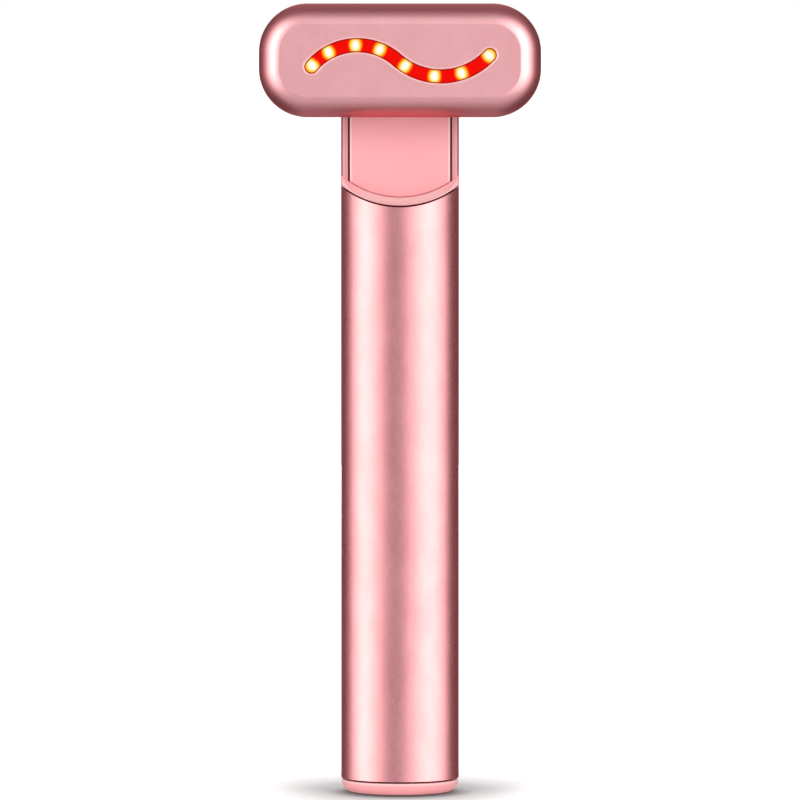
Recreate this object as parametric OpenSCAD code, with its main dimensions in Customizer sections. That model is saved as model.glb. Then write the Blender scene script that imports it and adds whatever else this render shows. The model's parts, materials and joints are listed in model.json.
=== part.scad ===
// Skincare wand: a light head that swivels on the neck of a round handle.
// The handle's axis is Z, the foot stands on z = 0 and the light window faces -Y.
// Lengths are in millimetres.

/* [Handle] */
// Outside diameter of the handle tube
tube_d = 23; // [22.6:0.2:25]
// Wall of the handle tube
tube_wall = 0.9; // [0.7:0.1:1.1]
// Height of the seam between the base cap and the tube
seam_z = 2.7; // [2.5:0.1:4]
// Width of the dark seams between the outer pieces
seam = 0.2; // [0.15:0.05:0.25]
// Lowest height of the tube's front cut
front_cut_z = 114.4; // [112:0.2:125]

/* [Neck] */
// Distance of the flat neck face in front of the handle's axis
neck_face = 2; // [1.5:0.1:2.4]
// Thickness of the plastic rim over the tube's cut edge
rim_t = 0.9; // [0.8:0.1:1.1]
// Width of the collar below the panel
collar_w = 1.4; // [1.2:0.1:1.8]
// Radius of the panel's curved lower edge
collar_r = 17.6; // [17:0.1:19]
// Width of the strip beside the panel
strip_w = 1.22; // [1.1:0.02:1.4]
// Thickness of the neck panel
panel_t = 1.4; // [1.2:0.1:1.6]
// Shadow gap down each side of the panel
panel_gap = 0.28; // [0.2:0.02:0.35]
// Thickness of the web that carries the pivot
web_t = 1.8; // [1.6:0.1:2.2]

/* [Head] */
// Length of the head
head_l = 54.6; // [52:0.2:60]
// Height of the head
head_h = 22; // [21:0.2:23]
// Depth of the head from its light face to its back
head_t = 13.4; // [13:0.2:14.6]
// Radius of the head's four corners
head_corner_r = 9.4; // [8.6:0.2:10.2]
// Width of the rounding beside the light face, seen from the front
head_edge_w = 4; // [3.6:0.1:4.4]
// Rounding of the head's back edges, which clears the collar as the head turns
head_back_r = 7.6; // [7.2:0.1:7.6]
// Wall of the head's front shell
head_wall = 1.1; // [1:0.1:1.2]
// Gap between the head's back and the neck face
head_gap = 0.5; // [0.45:0.05:0.7]
// Room left under the folded head's end
fold_room = 1; // [1:0.1:1.5]

/* [Light window] */
// Width of the wavy light window
wave_w = 2.7; // [2.4:0.1:3]
// Radius of the left crest's centre line
wave_left_r = 11.6; // [11:0.1:12.2]
// Radius of the right trough's centre line
wave_right_r = 12.9; // [12.2:0.1:13.5]
// Slope of the wave where the crest meets the trough, in degrees
wave_slope = 41; // [39:1:43]
// Angle that the crest spans, in degrees
wave_left_sweep = 91; // [86:1:94]
// Angle that the trough spans, in degrees
wave_right_sweep = 88; // [84:1:91]
// Number of lamps along the wave
lamp_count = 8; // [6:1:8]
// Step between the lamps from the left end
lamp_left_step = 4.85; // [4.6:0.05:4.9]
// Step between the lamps from the right end
lamp_right_step = 5.9; // [5.6:0.05:5.95]
// Edge length of one lamp
lamp_w = 1.5; // [1.2:0.1:1.7]

/* [Pivot] */
// Diameter of the hollow pivot shaft
shaft_d = 7; // [6.6:0.2:7.4]
// Bore of the pivot shaft, for the lamp cable
shaft_bore = 3.4; // [3:0.1:3.8]
// Wall of the pivot bush
bush_wall = 1.25; // [1.1:0.05:1.35]
// Diameter of the thrust washer between head and neck
washer_d = 13; // [12.6:0.1:13.4]
// Radius on which the stop pin and the detent ball run
stop_r = 8; // [7.9:0.05:8.2]
// Diameter of the stop pin
stop_pin_d = 1.5; // [1.3:0.1:1.6]
// Diameter of the detent ball
ball_d = 1.4; // [1.3:0.1:1.5]
// Turns of the detent spring
detent_turns = 5; // [4:1:6]

/* [Button] */
// Diameter of the mode button
button_d = 8; // [7:0.2:8.6]
// Height of the mode button's centre
button_z = 88; // [85:0.5:90]
// Wall of the ring around the button
bezel_wall = 1; // [0.8:0.1:1.2]
// Travel of the button
button_travel = 0.4; // [0.3:0.05:0.45]
// How far the button stands proud of the tube
button_proud = 0.35; // [0.3:0.05:0.6]
// Height of the status light above the button
status_rise = 10; // [9:0.5:10.5]
// Diameter of the status light's guide
guide_d = 1.6; // [1.2:0.1:1.8]

/* [Power] */
// Diameter of the battery cell
cell_d = 14; // [13.6:0.1:14.2]
// Length of the battery cell
cell_l = 50; // [46:1:54]
// Gap between the battery and the tube's bore
cell_gap = 0.4; // [0.3:0.05:0.5]
// Thickness of the main board
board_t = 1; // [0.8:0.1:1.2]
// Diameter of the vibration motor
motor_d = 6; // [5:0.2:6.4]
// Length of the vibration motor
motor_l = 11.6; // [10:0.2:12]
// Height of the motor's eccentric weight
weight_h = 3.6; // [3:0.2:4]

/* [Base] */
// Rounding of the base cap's lower edge
base_edge_r = 2; // [1.6:0.1:2.2]
// Length of the base cap's spigot inside the tube
spigot_h = 6.3; // [6:0.1:7]
// Width of the charging socket
socket_w = 8.94; // [8.6:0.02:9.2]
// Height of the charging socket's opening side
socket_h = 3.2; // [3:0.05:3.4]
// Cross-section diameter of the base seal
seal_d = 0.7; // [0.6:0.05:0.8]

/* [Fasteners] */
// Diameter of every small screw
screw_d = 1.6; // [1.4:0.1:1.8]
// Diameter of a screw head
screw_head_d = 2.8; // [2.6:0.1:3]
// Height of a screw head
screw_head_h = 0.7; // [0.6:0.05:0.8]

/* [Hidden] */
$fn = 96;

// Clearances
play = 0.05;     // radial play of a shaft, pin or screw in its hole
fit = 0.1;       // gap between moulded pieces and the pieces they sit in
touch = 0.02;    // hairline between pieces that bear on each other
over = 1;        // how far a cutter runs past what it cuts

// Handle, from the base up
tube_r = tube_d / 2;
bore_r = tube_r - tube_wall;
inner_r = bore_r - fit;
tube_z = seam_z + seam;
spigot_r = inner_r;
spigot_wall = 1.4;
spigot_z = seam_z + spigot_h;
floor_t = 1.8;
tower_z = spigot_z + 0.6;
base_r = tube_r - 0.15;

// Neck: both arcs of the collar share a centre on the plane x = 0
cut_r = collar_r + collar_w + seam;
collar_z = front_cut_z + cut_r;
cut_y = -(neck_face - rim_t);
rim_r = tube_r - 0.05;
recess_half_w = sqrt(rim_r * rim_r - neck_face * neck_face) - strip_w;
// Wall of the recess: steep beside the panel, then easy to the tube's edge
recess_lip_r = collar_r + collar_w;
recess_knee_r = collar_r + 1.1;
recess_knee_y = -6;

// Head: its centre is so high that its folded end clears the tube's edge
pivot_z = front_cut_z + head_l / 2 + fold_room;
head_back_y = -(neck_face + head_gap);
head_front_y = head_back_y - head_t;
head_part_y = head_back_y - head_back_r;
// The front's rounding is an arc that is widest at the seam and meets the light face at a slant
head_front_d = head_t - head_back_r - seam / 2;
head_front_r = (head_edge_w * head_edge_w + head_front_d * head_front_d) / (2 * head_edge_w);
neck_top_r = tube_r + 0.3;
neck_top_z = pivot_z + head_h / 2 - 0.2;
neck_arc_z = neck_top_z - neck_top_r;

// Neck frame
neck_socket_l = 9.8;  // how far the neck reaches down into the tube below the cut
neck_lo = front_cut_z - neck_socket_l;
panel_back_y = -neck_face + panel_t;
web_back_y = panel_back_y + web_t;
recess_top_r = neck_top_r - 1.4;
recess_low_r = collar_r - 0.05;
panel_low_r = collar_r - 0.12;
cavity_half_w = inner_r - 3.3;
cavity_top_z = neck_top_z - 4;
// Pocket that lightens the solid front below the recess
pocket_half_w = 5.4;
pocket_y = [-(inner_r - 2.1), -(neck_face + 1.6)];
pocket_top_z = front_cut_z - 2.5;
neck_screw_x = inner_r - 3.7;
neck_screw_y = -1.1;
neck_screw_l = 6;
neck_hole_l = 4.5;

// Pivot stack along Y
bush_d = shaft_d + 2 * play + 2 * bush_wall;
bush_front_y = -neck_face + 0.35;
bush_back_y = web_back_y + 0.2;
washer_back_y = -neck_face + 0.3;
washer_front_y = head_back_y + 0.04;
wave_height = 0.6;
wave_t = 0.25;
clip_t = 0.5;
clip_y = bush_back_y + wave_height + 2 * fit;
shaft_end_y = clip_y + clip_t + 1;
groove_d = shaft_d - 1;
flange_d = 13;
pad_r = stop_r + 0.95;
flange_t = 1.2;
back_wall = head_wall + 0.9;
flange_back_y = head_back_y - back_wall;
flange_front_y = flange_back_y - flange_t;
shaft_screw_r = 5;
stop_end_y = panel_back_y - 0.2;
track_depth = 0.3;
ball_y = head_back_y - track_depth + 0.08 + ball_d / 2;
detent_r = 0.28;
detent_pitch = 0.75;
detent_len = detent_turns * detent_pitch;
detent_y = ball_y + ball_d / 2 + touch;
detent_floor_y = detent_y + detent_len + 2 * detent_r;
detent_boss_y = detent_floor_y + 0.6;
detent_hole_d = ball_d + 2 * play;
detent_boss_d = detent_hole_d + 1.8;
detent_rib_t = 1.6;
dimple_d = ball_d + 0.6;
pin_hole_l = 1.2;
stop_slot_w = stop_pin_d + 0.3;
clip_gap = 3.2;

// Inside the handle
cell_y = -(bore_r - cell_d / 2 - cell_gap);
chassis_lo = tower_z + fit;
chassis_hi = neck_lo - seam;
cell_seat_z = chassis_lo + 4.7;
bay_front_y = -6;
pad_t = 1.4;
cell_z = cell_seat_z + pad_t + 2 * touch;
cell_top_z = cell_z + cell_l;
pad_bore = 5;
rib_t = 2;
core_lo = cell_top_z + pad_t + 2 * touch + rib_t;
motor_hi = chassis_hi - 8.9;
motor_lo = motor_hi - motor_l;
core_hi = motor_lo - rib_t;
sleeve_d = motor_d + 1.6;
motor_shaft_d = 1;
weight_gap = 1;
weight_r = 2.6;
chamber_top = motor_hi + weight_gap + weight_h + 0.7;
chamber_d = 2 * weight_r + 1.4;
core_half_w = inner_r - 4.5;
lead_way_w = 4;
lead_way_z = [core_lo + 1, core_lo + 5];
neck_head_z = chassis_hi - 2.6;
driver_way_w = 3.2;
driver_way_lo = chassis_hi - 8.4;
thread_l = 4;

// Main board, behind the battery
board_y = cell_y + cell_d / 2 + 1.1;
board_back_y = board_y + board_t;
core_back_y = board_y - 1.9;
board_edge = 0.8;
board_half_w = sqrt(inner_r * inner_r - board_back_y * board_back_y) - board_edge;
board_lo = chassis_lo + 0.3;
board_hi = chassis_hi - 3.5;
tab_edge = 0.33;
tab_half_w = sqrt(pow(spigot_r - spigot_wall, 2) - board_back_y * board_back_y) - tab_edge;
tab_lo = floor_t + 1.4;
board_screw_x = board_half_w - 1.7;
board_screw_rise = 14;
board_screw_drop = 2;
board_screw_z = [board_lo + board_screw_rise, motor_lo - board_screw_drop];
board_screw_l = 4;

// Button and switch
bezel_d = button_d + 2 * fit + 2 * bezel_wall;
switch_w = 4.5;
switch_h = 1.4;
switch_y = board_back_y + switch_h;
stem_d = 2.2;
stem_top_y = switch_y + button_travel + 0.1;
stem_foot_y = board_back_y + 0.8;
flange_y = stem_top_y + play;
flange_h = 0.9;
bezel_in_y = flange_y + flange_h + play + fit;
button_flange_d = button_d + 1.4;
button_face_r = tube_r + button_proud;
bezel_face_r = tube_r + 0.12;
status_z = button_z + status_rise;
lamp_h = 0.7;

// Parts on the board
chip_w = 5;
chip_rise = 3;
charger_w = 3;
charger_rise = 9;
coil_w = 4;
coil_h = 2;
coil_rise = 22;
package_h = 0.9;
small_part = [0.8, 1.6, 0.5];
small_part_step = 3.4;
small_part_rises = [6, 15, 29];
small_part_drop = 6;

// Charging socket, let into the board's lower end
socket_y = board_y + board_t / 2;
socket_lo = 0.6;
socket_l = 7.4;
socket_wall = 0.3;
tongue_w = 6.6;
tongue_t = 0.7;
tongue_base = 1.4;
base_screw_x = inner_r - 4.3;
base_screw_y = -2;
base_screw_l = 9.5;
base_screw_seat = screw_head_h + 0.4;
tower_d = 4;

// Head insides, from the light face back
window_recess = 0.3;
window_bevel = 0.35;
end_swell = 0.01;  // how much wider than the band its round ends are, to either side
shaft_screw_l = 2.4;
lens_flange_w = wave_w + 1.9;
lens_flange_t = 0.75;
lens_back_y = head_front_y + head_wall + touch + lens_flange_t;
lamp_t = 0.7;
led_board_t = 0.8;
led_board_y = lens_back_y + fit + lamp_t;
led_board_l = 47;
led_board_h = 16.4;
led_board_r = 6.5;
lip_in = head_wall + fit;
lip_depth = 0.7;
boss_d = 3.2;
// Places of the four screws, clear of the wave
boss_at = [[-9, -4.6], [8, 5], [-19.9, 4.6], [19.9, -4.6]];
boss_screw_l = 2;

// Centre line of the window: a crest and a trough that meet at wave_mid with one tangent
wave_mid = [-0.6, 0.1];
wave_normal = [sin(wave_slope), cos(wave_slope)];
crest = wave_mid - wave_left_r * wave_normal;
trough = wave_mid + wave_right_r * wave_normal;
crest_len = wave_left_r * wave_left_sweep * PI / 180;
trough_len = wave_right_r * wave_right_sweep * PI / 180;
wave_len = crest_len + trough_len;

// Cables
cable_d = 1.8;
lead_d = 0.9;
motor_lead_d = 0.7;
plug_x = board_half_w - 3.2;
socket_top_z = board_hi - 1.6;
housing_w = 3.6;
housing_t = 2;
housing_h = 4;
housing_wall = 0.3;

// The point on the window's centre line at the length s from its left end
function wave_at(s) =
    s < crest_len
        ? let(a = 90 - wave_slope + wave_left_sweep * (1 - s / crest_len))
          crest + wave_left_r * [cos(a), sin(a)]
        : let(a = 270 - wave_slope + wave_right_sweep * (s - crest_len) / trough_len)
          trough + wave_right_r * [cos(a), sin(a)];

// Half of the lamps step in from the left end, the others step back from the right end
function lamp_s(i) =
    i < lamp_count / 2 ? i * lamp_left_step : wave_len - (lamp_count - 1 - i) * lamp_right_step;

// Helpers for shapes drawn in the XZ plane and carried along Y
module along_y(y0, y1) {
    translate([0, y1, 0]) rotate([90, 0, 0]) linear_extrude(y1 - y0) children();
}

module rod_y(d, y0, y1, x = 0, z = 0) {
    translate([x, y1, z]) rotate([90, 0, 0]) cylinder(d = d, h = y1 - y0);
}

module rod_z(d, z0, z1, x = 0, y = 0) {
    translate([x, y, z0]) cylinder(d = d, h = z1 - z0);
}

module block(x0, x1, y0, y1, z0, z1) {
    translate([x0, y0, z0]) cube([x1 - x0, y1 - y0, z1 - z0]);
}

// A profile of (radius, y) points turned about the Y line through height z
module turned_y(points, z) {
    translate([0, 0, z]) rotate([-90, 0, 0]) rotate_extrude() polygon(points);
}

module ring_y(d_out, d_in, y0, y1, z) {
    difference() {
        rod_y(d_out, y0, y1, 0, z);
        rod_y(d_in, y0 - over, y1 + over, 0, z);
    }
}

module ring_z(d_out, d_in, z0, z1, y = 0) {
    difference() {
        rod_z(d_out, z0, z1, 0, y);
        rod_z(d_in, z0 - over, z1 + over, 0, y);
    }
}

// Half profile of a slab of depth t and radius r. Its back edge is rounded by back_r, and its
// front edge by an arc of radius front_r that reaches front_d down from the front face.
module rounded_profile(r, t, back_r, front_d, front_r) {
    translate([0, back_r]) square([r, t - back_r - front_d]);
    if (back_r > 0) {
        square([r - back_r, back_r]);
        translate([r - back_r, back_r]) intersection() {
            circle(back_r);
            translate([0, -back_r]) square(back_r);
        }
    }
    if (front_d > 0) translate([0, t - front_d]) {
        square([r - front_r, front_d]);
        translate([r - front_r, 0]) intersection() {
            circle(front_r);
            square([front_r, front_d]);
        }
    }
}

// A block l long and h high about the pivot, between y0 and y1, with corners of radius r and
// its faces' edges rounded. Quarter turns and bars meet at flat faces.
module head_slab(l, h, r, y0, y1, back_r = 0, front_d = 0, front_r = 0) {
    t = y1 - y0;
    cx = l / 2 - r;
    cz = h / 2 - r;
    module profile() {
        rounded_profile(r, t, back_r, front_d, front_r);
    }
    module bar(len) {
        rotate([90, 0, 0]) translate([0, 0, -len]) linear_extrude(len) profile();
    }
    translate([0, y1, pivot_z]) rotate([90, 0, 0]) {
        translate([-cx, -cz, 0]) cube([2 * cx, 2 * cz, t]);
        for (i = [0 : 3]) {
            at = [[cx, cz], [-cx, cz], [-cx, -cz], [cx, -cz]][i];
            translate([at[0], at[1], 0]) rotate([0, 0, 90 * i]) rotate_extrude(angle = 90) profile();
        }
        translate([cx, -cz, 0]) bar(2 * cz);
        translate([cx, cz, 0]) rotate([0, 0, 90]) bar(2 * cx);
        translate([-cx, cz, 0]) rotate([0, 0, 180]) bar(2 * cz);
        translate([-cx, -cz, 0]) rotate([0, 0, 270]) bar(2 * cx);
    }
}

// The head's outer form drawn in by the wall w
module head_form(w = 0) {
    head_slab(head_l - 2 * w, head_h - 2 * w, head_corner_r - w,
              head_front_y + w, head_back_y - w, head_back_r - w, head_front_d - w, head_front_r - w);
}

// The window's wavy band, w wide, from y0 to y1; it may widen to w1 at y0.
// Crest and trough are drawn about the point where they meet, so that they meet face to face.
module wave_band(w, y0, y1, w1 = 0) {
    t = y1 - y0;
    u = w / 2;
    v = (w1 > 0 ? w1 : w) / 2;
    module bend(centre, r, start, sweep) {
        translate([0, centre, 0]) rotate([0, 0, start]) {
            rotate_extrude(angle = sweep) polygon([[r - u, 0], [r + u, 0], [r + v, t], [r - v, t]]);
            rotate([0, 0, sweep]) translate([r, 0, 0])
                cylinder(r1 = u + end_swell, r2 = v + end_swell, h = t);
        }
    }
    translate([wave_mid[0], y1, pivot_z + wave_mid[1]]) rotate([90, 0, 0]) rotate([0, 0, -wave_slope]) {
        bend(-wave_left_r, wave_left_r, 90, wave_left_sweep);
        bend(wave_right_r, wave_right_r, 270, wave_right_sweep);
    }
}

// A bar with half-round ends in the XY plane, w by h, from z0 to z1 about the point (0, y)
module slot_z(w, h, z0, z1, y) {
    translate([0, y, z0]) {
        translate([-(w - h) / 2, -h / 2, 0]) cube([w - h, h, z1 - z0]);
        for (s = [0, 1]) rotate([0, 0, 180 * s]) translate([(w - h) / 2, 0, 0])
            rotate([0, 0, -90]) rotate_extrude(angle = 180) square([h / 2, z1 - z0]);
    }
}

// A screw with a cross slot; its head's underside is at the origin and its shank points to -Z
module small_screw(l) {
    difference() {
        union() {
            cylinder(d = screw_head_d, h = screw_head_h);
            translate([0, 0, -l]) cylinder(d = screw_d, h = l + 0.1);
        }
        for (a = [0, 90]) rotate([0, 0, a])
            translate([-screw_head_d * 0.3, -0.15, screw_head_h * 0.4])
                cube([screw_head_d * 0.6, 0.3, screw_head_h]);
    }
}

// A round cable swept along points, smoothed by a spline with steps rings to a span
function spline(a, b, c, d, t) =
    0.5 * (2 * b + (c - a) * t + (2 * a - 5 * b + 4 * c - d) * t * t
           + (3 * b - a - 3 * c + d) * t * t * t);
function smooth(p, steps) = [
    for (i = [0 : len(p) - 2], k = [0 : steps - 1])
        spline(p[max(i - 1, 0)], p[i], p[i + 1], p[min(i + 2, len(p) - 1)], k / steps),
    p[len(p) - 1]
];
function unit(v) = v / norm(v);
function direction(p, i) = unit(p[min(i + 1, len(p) - 1)] - p[max(i - 1, 0)]);
module swept(p, d, sides = 8) {
    side = [for (i = [0 : len(p) - 1]) unit(cross(direction(p, i), [1, 0.13, 0.07]))];
    up = [for (i = [0 : len(p) - 1]) cross(side[i], direction(p, i))];
    rings = [
        for (i = [0 : len(p) - 1], k = [0 : sides - 1])
            p[i] + d / 2 * (cos(360 * k / sides) * side[i] + sin(360 * k / sides) * up[i])
    ];
    last = sides * (len(p) - 1);
    walls = [
        for (i = [0 : len(p) - 2], k = [0 : sides - 1])
            let(a = i * sides + k, b = i * sides + (k + 1) % sides)
            each [[a, b, b + sides], [a, b + sides, a + sides]]
    ];
    start_cap = [for (k = [1 : sides - 2]) [0, k + 1, k]];
    end_cap = [for (k = [1 : sides - 2]) [last, last + k, last + k + 1]];
    polyhedron(rings, concat(walls, start_cap, end_cap), convexity = 6);
}

module cable(points, d) {
    swept(smooth(points, 4), d);
}

// Outline of the panel and its recess: straight sides between two arcs
module neck_outline(half_w, low_r, top_r) {
    low_z = collar_z - low_r - over;
    difference() {
        translate([-half_w, low_z]) square([2 * half_w, neck_top_z - low_z]);
        difference() {
            translate([-tube_d, low_z - over]) square([2 * tube_d, collar_z - low_z + over]);
            translate([0, collar_z]) circle(low_r);
        }
        difference() {
            translate([-tube_d, neck_arc_z]) square([2 * tube_d, tube_d]);
            translate([0, neck_arc_z]) circle(top_r);
        }
    }
}

// Everything above the neck's rounded top
module above_neck_top() {
    difference() {
        block(-tube_d, tube_d, -tube_d, tube_d, neck_arc_z, neck_arc_z + tube_d);
        rod_y(2 * neck_top_r, -tube_d - over, tube_d + over, 0, neck_arc_z);
    }
}

// The space in front of the plane y, above an arc of radius r
module front_space(r, y) {
    rod_y(2 * r, -tube_d, y, 0, collar_z);
    block(-tube_r - over, tube_r + over, -tube_d, y, collar_z, neck_top_z + over);
}

// Outer pieces of the handle
module handle_tube() {
    color("#d8929a") difference() {
        rod_z(tube_d, tube_z, neck_top_z + over);
        rod_z(2 * bore_r, tube_z - over, neck_top_z + 2 * over);
        front_space(cut_r, cut_y);
        above_neck_top();
        rod_y(bezel_d + 2 * play, 0, tube_d, 0, button_z);
        rod_y(guide_d + 2 * play, 0, tube_d, 0, status_z);
    }
}

module neck_frame() {
    recess = [
        [0, -tube_d], [recess_lip_r + 1.5, -tube_d], [recess_lip_r, -tube_r],
        [recess_knee_r, recess_knee_y], [collar_r, -neck_face], [0, -neck_face]
    ];
    color("#f4a9b0") difference() {
        union() {
            rod_z(2 * inner_r, neck_lo, neck_top_z + over);
            intersection() {
                rod_z(2 * rim_r, neck_lo, neck_top_z + over);
                front_space(cut_r - seam, cut_y - touch);
            }
        }
        above_neck_top();
        turned_y(recess, collar_z);
        block(-tube_r, tube_r, -tube_d, -neck_face, collar_z, neck_top_z + over);
        along_y(-neck_face - over, panel_back_y)
            neck_outline(recess_half_w, recess_low_r, recess_top_r);
        block(-cavity_half_w, cavity_half_w, web_back_y, tube_r, neck_lo - over, cavity_top_z);
        block(-pocket_half_w, pocket_half_w, pocket_y[0], pocket_y[1],
              neck_lo - over, pocket_top_z);
        rod_y(bush_d + 2 * play, -neck_face, web_back_y + over, 0, pivot_z);
        rod_y(detent_hole_d, -neck_face, detent_floor_y, 0, pivot_z + stop_r);
        for (s = [-1, 1])
            rod_z(screw_d + 2 * play, neck_lo - over, neck_lo + neck_hole_l,
                  s * neck_screw_x, neck_screw_y);
    }
    // Boss behind the detent ball, hung from the top wall
    color("#f4a9b0") difference() {
        intersection() {
            union() {
                rod_y(detent_boss_d, web_back_y - 0.1, detent_boss_y, 0, pivot_z + stop_r);
                block(-detent_rib_t / 2, detent_rib_t / 2, web_back_y - 0.1, detent_boss_y,
                      pivot_z + stop_r, cavity_top_z + 0.4);
            }
            rod_z(2 * inner_r, neck_lo, neck_top_z);
        }
        rod_y(detent_hole_d, -neck_face, detent_floor_y, 0, pivot_z + stop_r);
    }
}

module neck_panel() {
    color("#f9b1b6") difference() {
        along_y(-neck_face, panel_back_y - touch)
            neck_outline(recess_half_w - panel_gap, panel_low_r, recess_top_r - fit);
        rod_y(bush_d + 4 * play, -neck_face - over, panel_back_y + over, 0, pivot_z);
        rod_y(washer_d + 2 * fit, -neck_face - over, washer_back_y, 0, pivot_z);
        rod_y(detent_hole_d, -neck_face - over, panel_back_y + over, 0, pivot_z + stop_r);
        // Slot of half a turn for the stop pin
        translate([0, 0, pivot_z]) rotate([-90, 0, 0]) rotate_extrude(angle = 180)
            translate([stop_r - stop_slot_w / 2, -neck_face - over])
                square([stop_slot_w, panel_t + 2 * over]);
        for (s = [-1, 1])
            rod_y(stop_slot_w, -neck_face - over, panel_back_y + over, s * stop_r, pivot_z);
    }
}

// Pivot pieces that stay with the handle
module pivot_bush() {
    color("#c9a35a") ring_y(bush_d, shaft_d + 2 * play, bush_front_y, bush_back_y, pivot_z);
}

module thrust_washer() {
    color("#f2efe8")
        ring_y(washer_d, shaft_d + 4 * play, washer_front_y, washer_back_y - touch, pivot_z);
}

// A thin ring that rises and falls three times round
module wave_washer() {
    steps = 48;
    r_in = shaft_d / 2 + 3 * play;
    r_out = bush_d / 2;
    mid_y = bush_back_y + touch + wave_height / 2;
    rise = (wave_height - wave_t) / 2;
    points = [
        for (i = [0 : steps - 1], k = [0 : 3])
            let(a = 360 * i / steps, r = (k == 0 || k == 3) ? r_in : r_out,
                y = mid_y + rise * sin(3 * a) + (k < 2 ? -wave_t / 2 : wave_t / 2))
            [r * cos(a), y, pivot_z + r * sin(a)]
    ];
    faces = [
        for (i = [0 : steps - 1], k = [0 : 3])
            let(a = 4 * i + k, b = 4 * i + (k + 1) % 4, j = 4 * ((i + 1) % steps))
            each [[a, j + (k + 1) % 4, b], [a, j + k, j + (k + 1) % 4]]
    ];
    color("silver") polyhedron(points, faces, convexity = 4);
}

module detent_ball() {
    color("silver") translate([0, ball_y, pivot_z + stop_r]) sphere(d = ball_d, $fn = 48);
}

module detent_spring() {
    steps = 12;
    r = ball_d / 2 - detent_r / 2 - play;
    turns = detent_len / detent_pitch;
    y0 = detent_y + detent_r / 2;
    points = [
        for (i = [0 : steps * turns])
            [r * cos(360 * i / steps), y0 + detent_pitch * i / steps,
             pivot_z + stop_r + r * sin(360 * i / steps)]
    ];
    color("silver") swept(points, detent_r, 6);
}

// Carrier inside the tube
module chassis() {
    color("#e9e4dc") difference() {
        rod_z(2 * inner_r, chassis_lo, chassis_hi);
        // Battery bay, open to the front
        rod_z(cell_d + 2 * fit, cell_seat_z, core_lo - rib_t, 0, cell_y);
        block(-tube_d, tube_d, -tube_d, bay_front_y, cell_seat_z, core_lo - rib_t);
        // Board pocket, open to the back
        block(-board_half_w - fit, board_half_w + fit, board_y - fit, tube_d,
              chassis_lo - over, chassis_hi + over);
        // Cored out bay between the battery and the motor
        block(-core_half_w, core_half_w, -tube_d, core_back_y, core_lo, core_hi);
        // Motor and weight
        rod_z(sleeve_d + 2 * fit, motor_lo, motor_hi, 0, cell_y);
        rod_z(chamber_d, motor_lo, chamber_top, 0, cell_y);
        // Ways for the leads
        block(-lead_way_w / 2, lead_way_w / 2, core_back_y - over, board_y,
              lead_way_z[0], lead_way_z[1]);
        rod_z(pad_bore, core_lo - rib_t - over, core_lo + over, 0, cell_y);
        translate([-1.5, cell_y - 1.5, chassis_lo + 1.6])
            cube([3, board_y - cell_y + 1.5, cell_seat_z - chassis_lo]);
        translate([-1.8, cell_y - 1.2, core_hi - over]) cube([3.6, 2.4, rib_t + 2 * over]);
        // Screw holes, and the ways to the upper screws' heads
        for (s = [-1, 1]) {
            rod_z(screw_d + 2 * play, chassis_lo - over, chassis_lo + thread_l,
                  s * base_screw_x, base_screw_y);
            rod_z(screw_d + 2 * play, chassis_hi - thread_l, chassis_hi + over,
                  s * neck_screw_x, neck_screw_y);
            block(s * neck_screw_x - driver_way_w / 2, s * neck_screw_x + driver_way_w / 2,
                  -tube_d, neck_screw_y + driver_way_w / 2, driver_way_lo, neck_head_z + touch);
            for (z = board_screw_z)
                rod_y(screw_d + 2 * play, board_back_y - board_screw_l - 0.3, board_y,
                      s * board_screw_x, z);
        }
    }
}

module neck_screws() {
    color("silver") for (s = [-1, 1])
        translate([s * neck_screw_x, neck_screw_y, neck_head_z])
            mirror([0, 0, 1]) small_screw(neck_screw_l);
}

// Power
module battery_cell() {
    color("#3f6fb5") union() {
        rod_z(cell_d, cell_z, cell_top_z, 0, cell_y);
        rod_z(pad_bore - 1, cell_top_z - 0.1, cell_top_z + 0.8, 0, cell_y);
    }
}

module battery_pads() {
    color("#4a4a4c") {
        ring_z(cell_d - 1, pad_bore, cell_seat_z + touch, cell_seat_z + touch + pad_t, cell_y);
        ring_z(cell_d - 1, pad_bore, cell_top_z + touch, cell_top_z + touch + pad_t, cell_y);
    }
}

module battery_leads() {
    up = cell_top_z + 0.8;
    color("#c8202a") cable([
        [0, cell_y, up + touch], [0, cell_y, up + 2], [0, cell_y, core_lo + 0.5],
        [0.8, -0.5, core_lo + 3], [0.8, 2.5, core_lo + 3.2], [0.8, board_y - touch, core_lo + 3.2]
    ], lead_d);
    color("#202022") cable([
        [0, cell_y, cell_z - touch], [0, cell_y, cell_z - 2], [0, -1.2, cell_seat_z - 2],
        [0, 1.6, cell_seat_z - 2.2], [0, board_y - touch, cell_seat_z - 2.2]
    ], lead_d);
}

// Circuit board and what it carries
module main_board() {
    color("#2f7d4c") difference() {
        union() {
            block(-board_half_w, board_half_w, board_y, board_back_y, board_lo, board_hi);
            block(-tab_half_w, tab_half_w, board_y, board_back_y, tab_lo, board_lo + 0.1);
        }
        block(-socket_w / 2 - fit, socket_w / 2 + fit, 0, tube_d,
              tab_lo - over, socket_lo + socket_l + fit);
        for (s = [-1, 1], z = board_screw_z)
            rod_y(screw_d + 4 * play, 0, tube_d, s * board_screw_x, z);
    }
}

module board_screws() {
    color("silver") for (s = [-1, 1], z = board_screw_z)
        translate([s * board_screw_x, board_back_y, z]) rotate([-90, 0, 0]) small_screw(board_screw_l);
}

// A part w wide and h high that stands t proud of the board's back
module on_board(x, z, w, h, t) {
    block(x - w / 2, x + w / 2, board_back_y, board_back_y + t, z - h / 2, z + h / 2);
}

module controller_chip() {
    color("#26262a") on_board(0, core_lo + chip_rise, chip_w, chip_w, package_h);
}

module charger_chip() {
    color("#26262a")
        on_board(-charger_w / 2, board_lo + charger_rise, charger_w, charger_w, package_h);
}

module power_coil() {
    color("#55555c") on_board(0, board_lo + coil_rise, coil_w, coil_w, coil_h);
}

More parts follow.
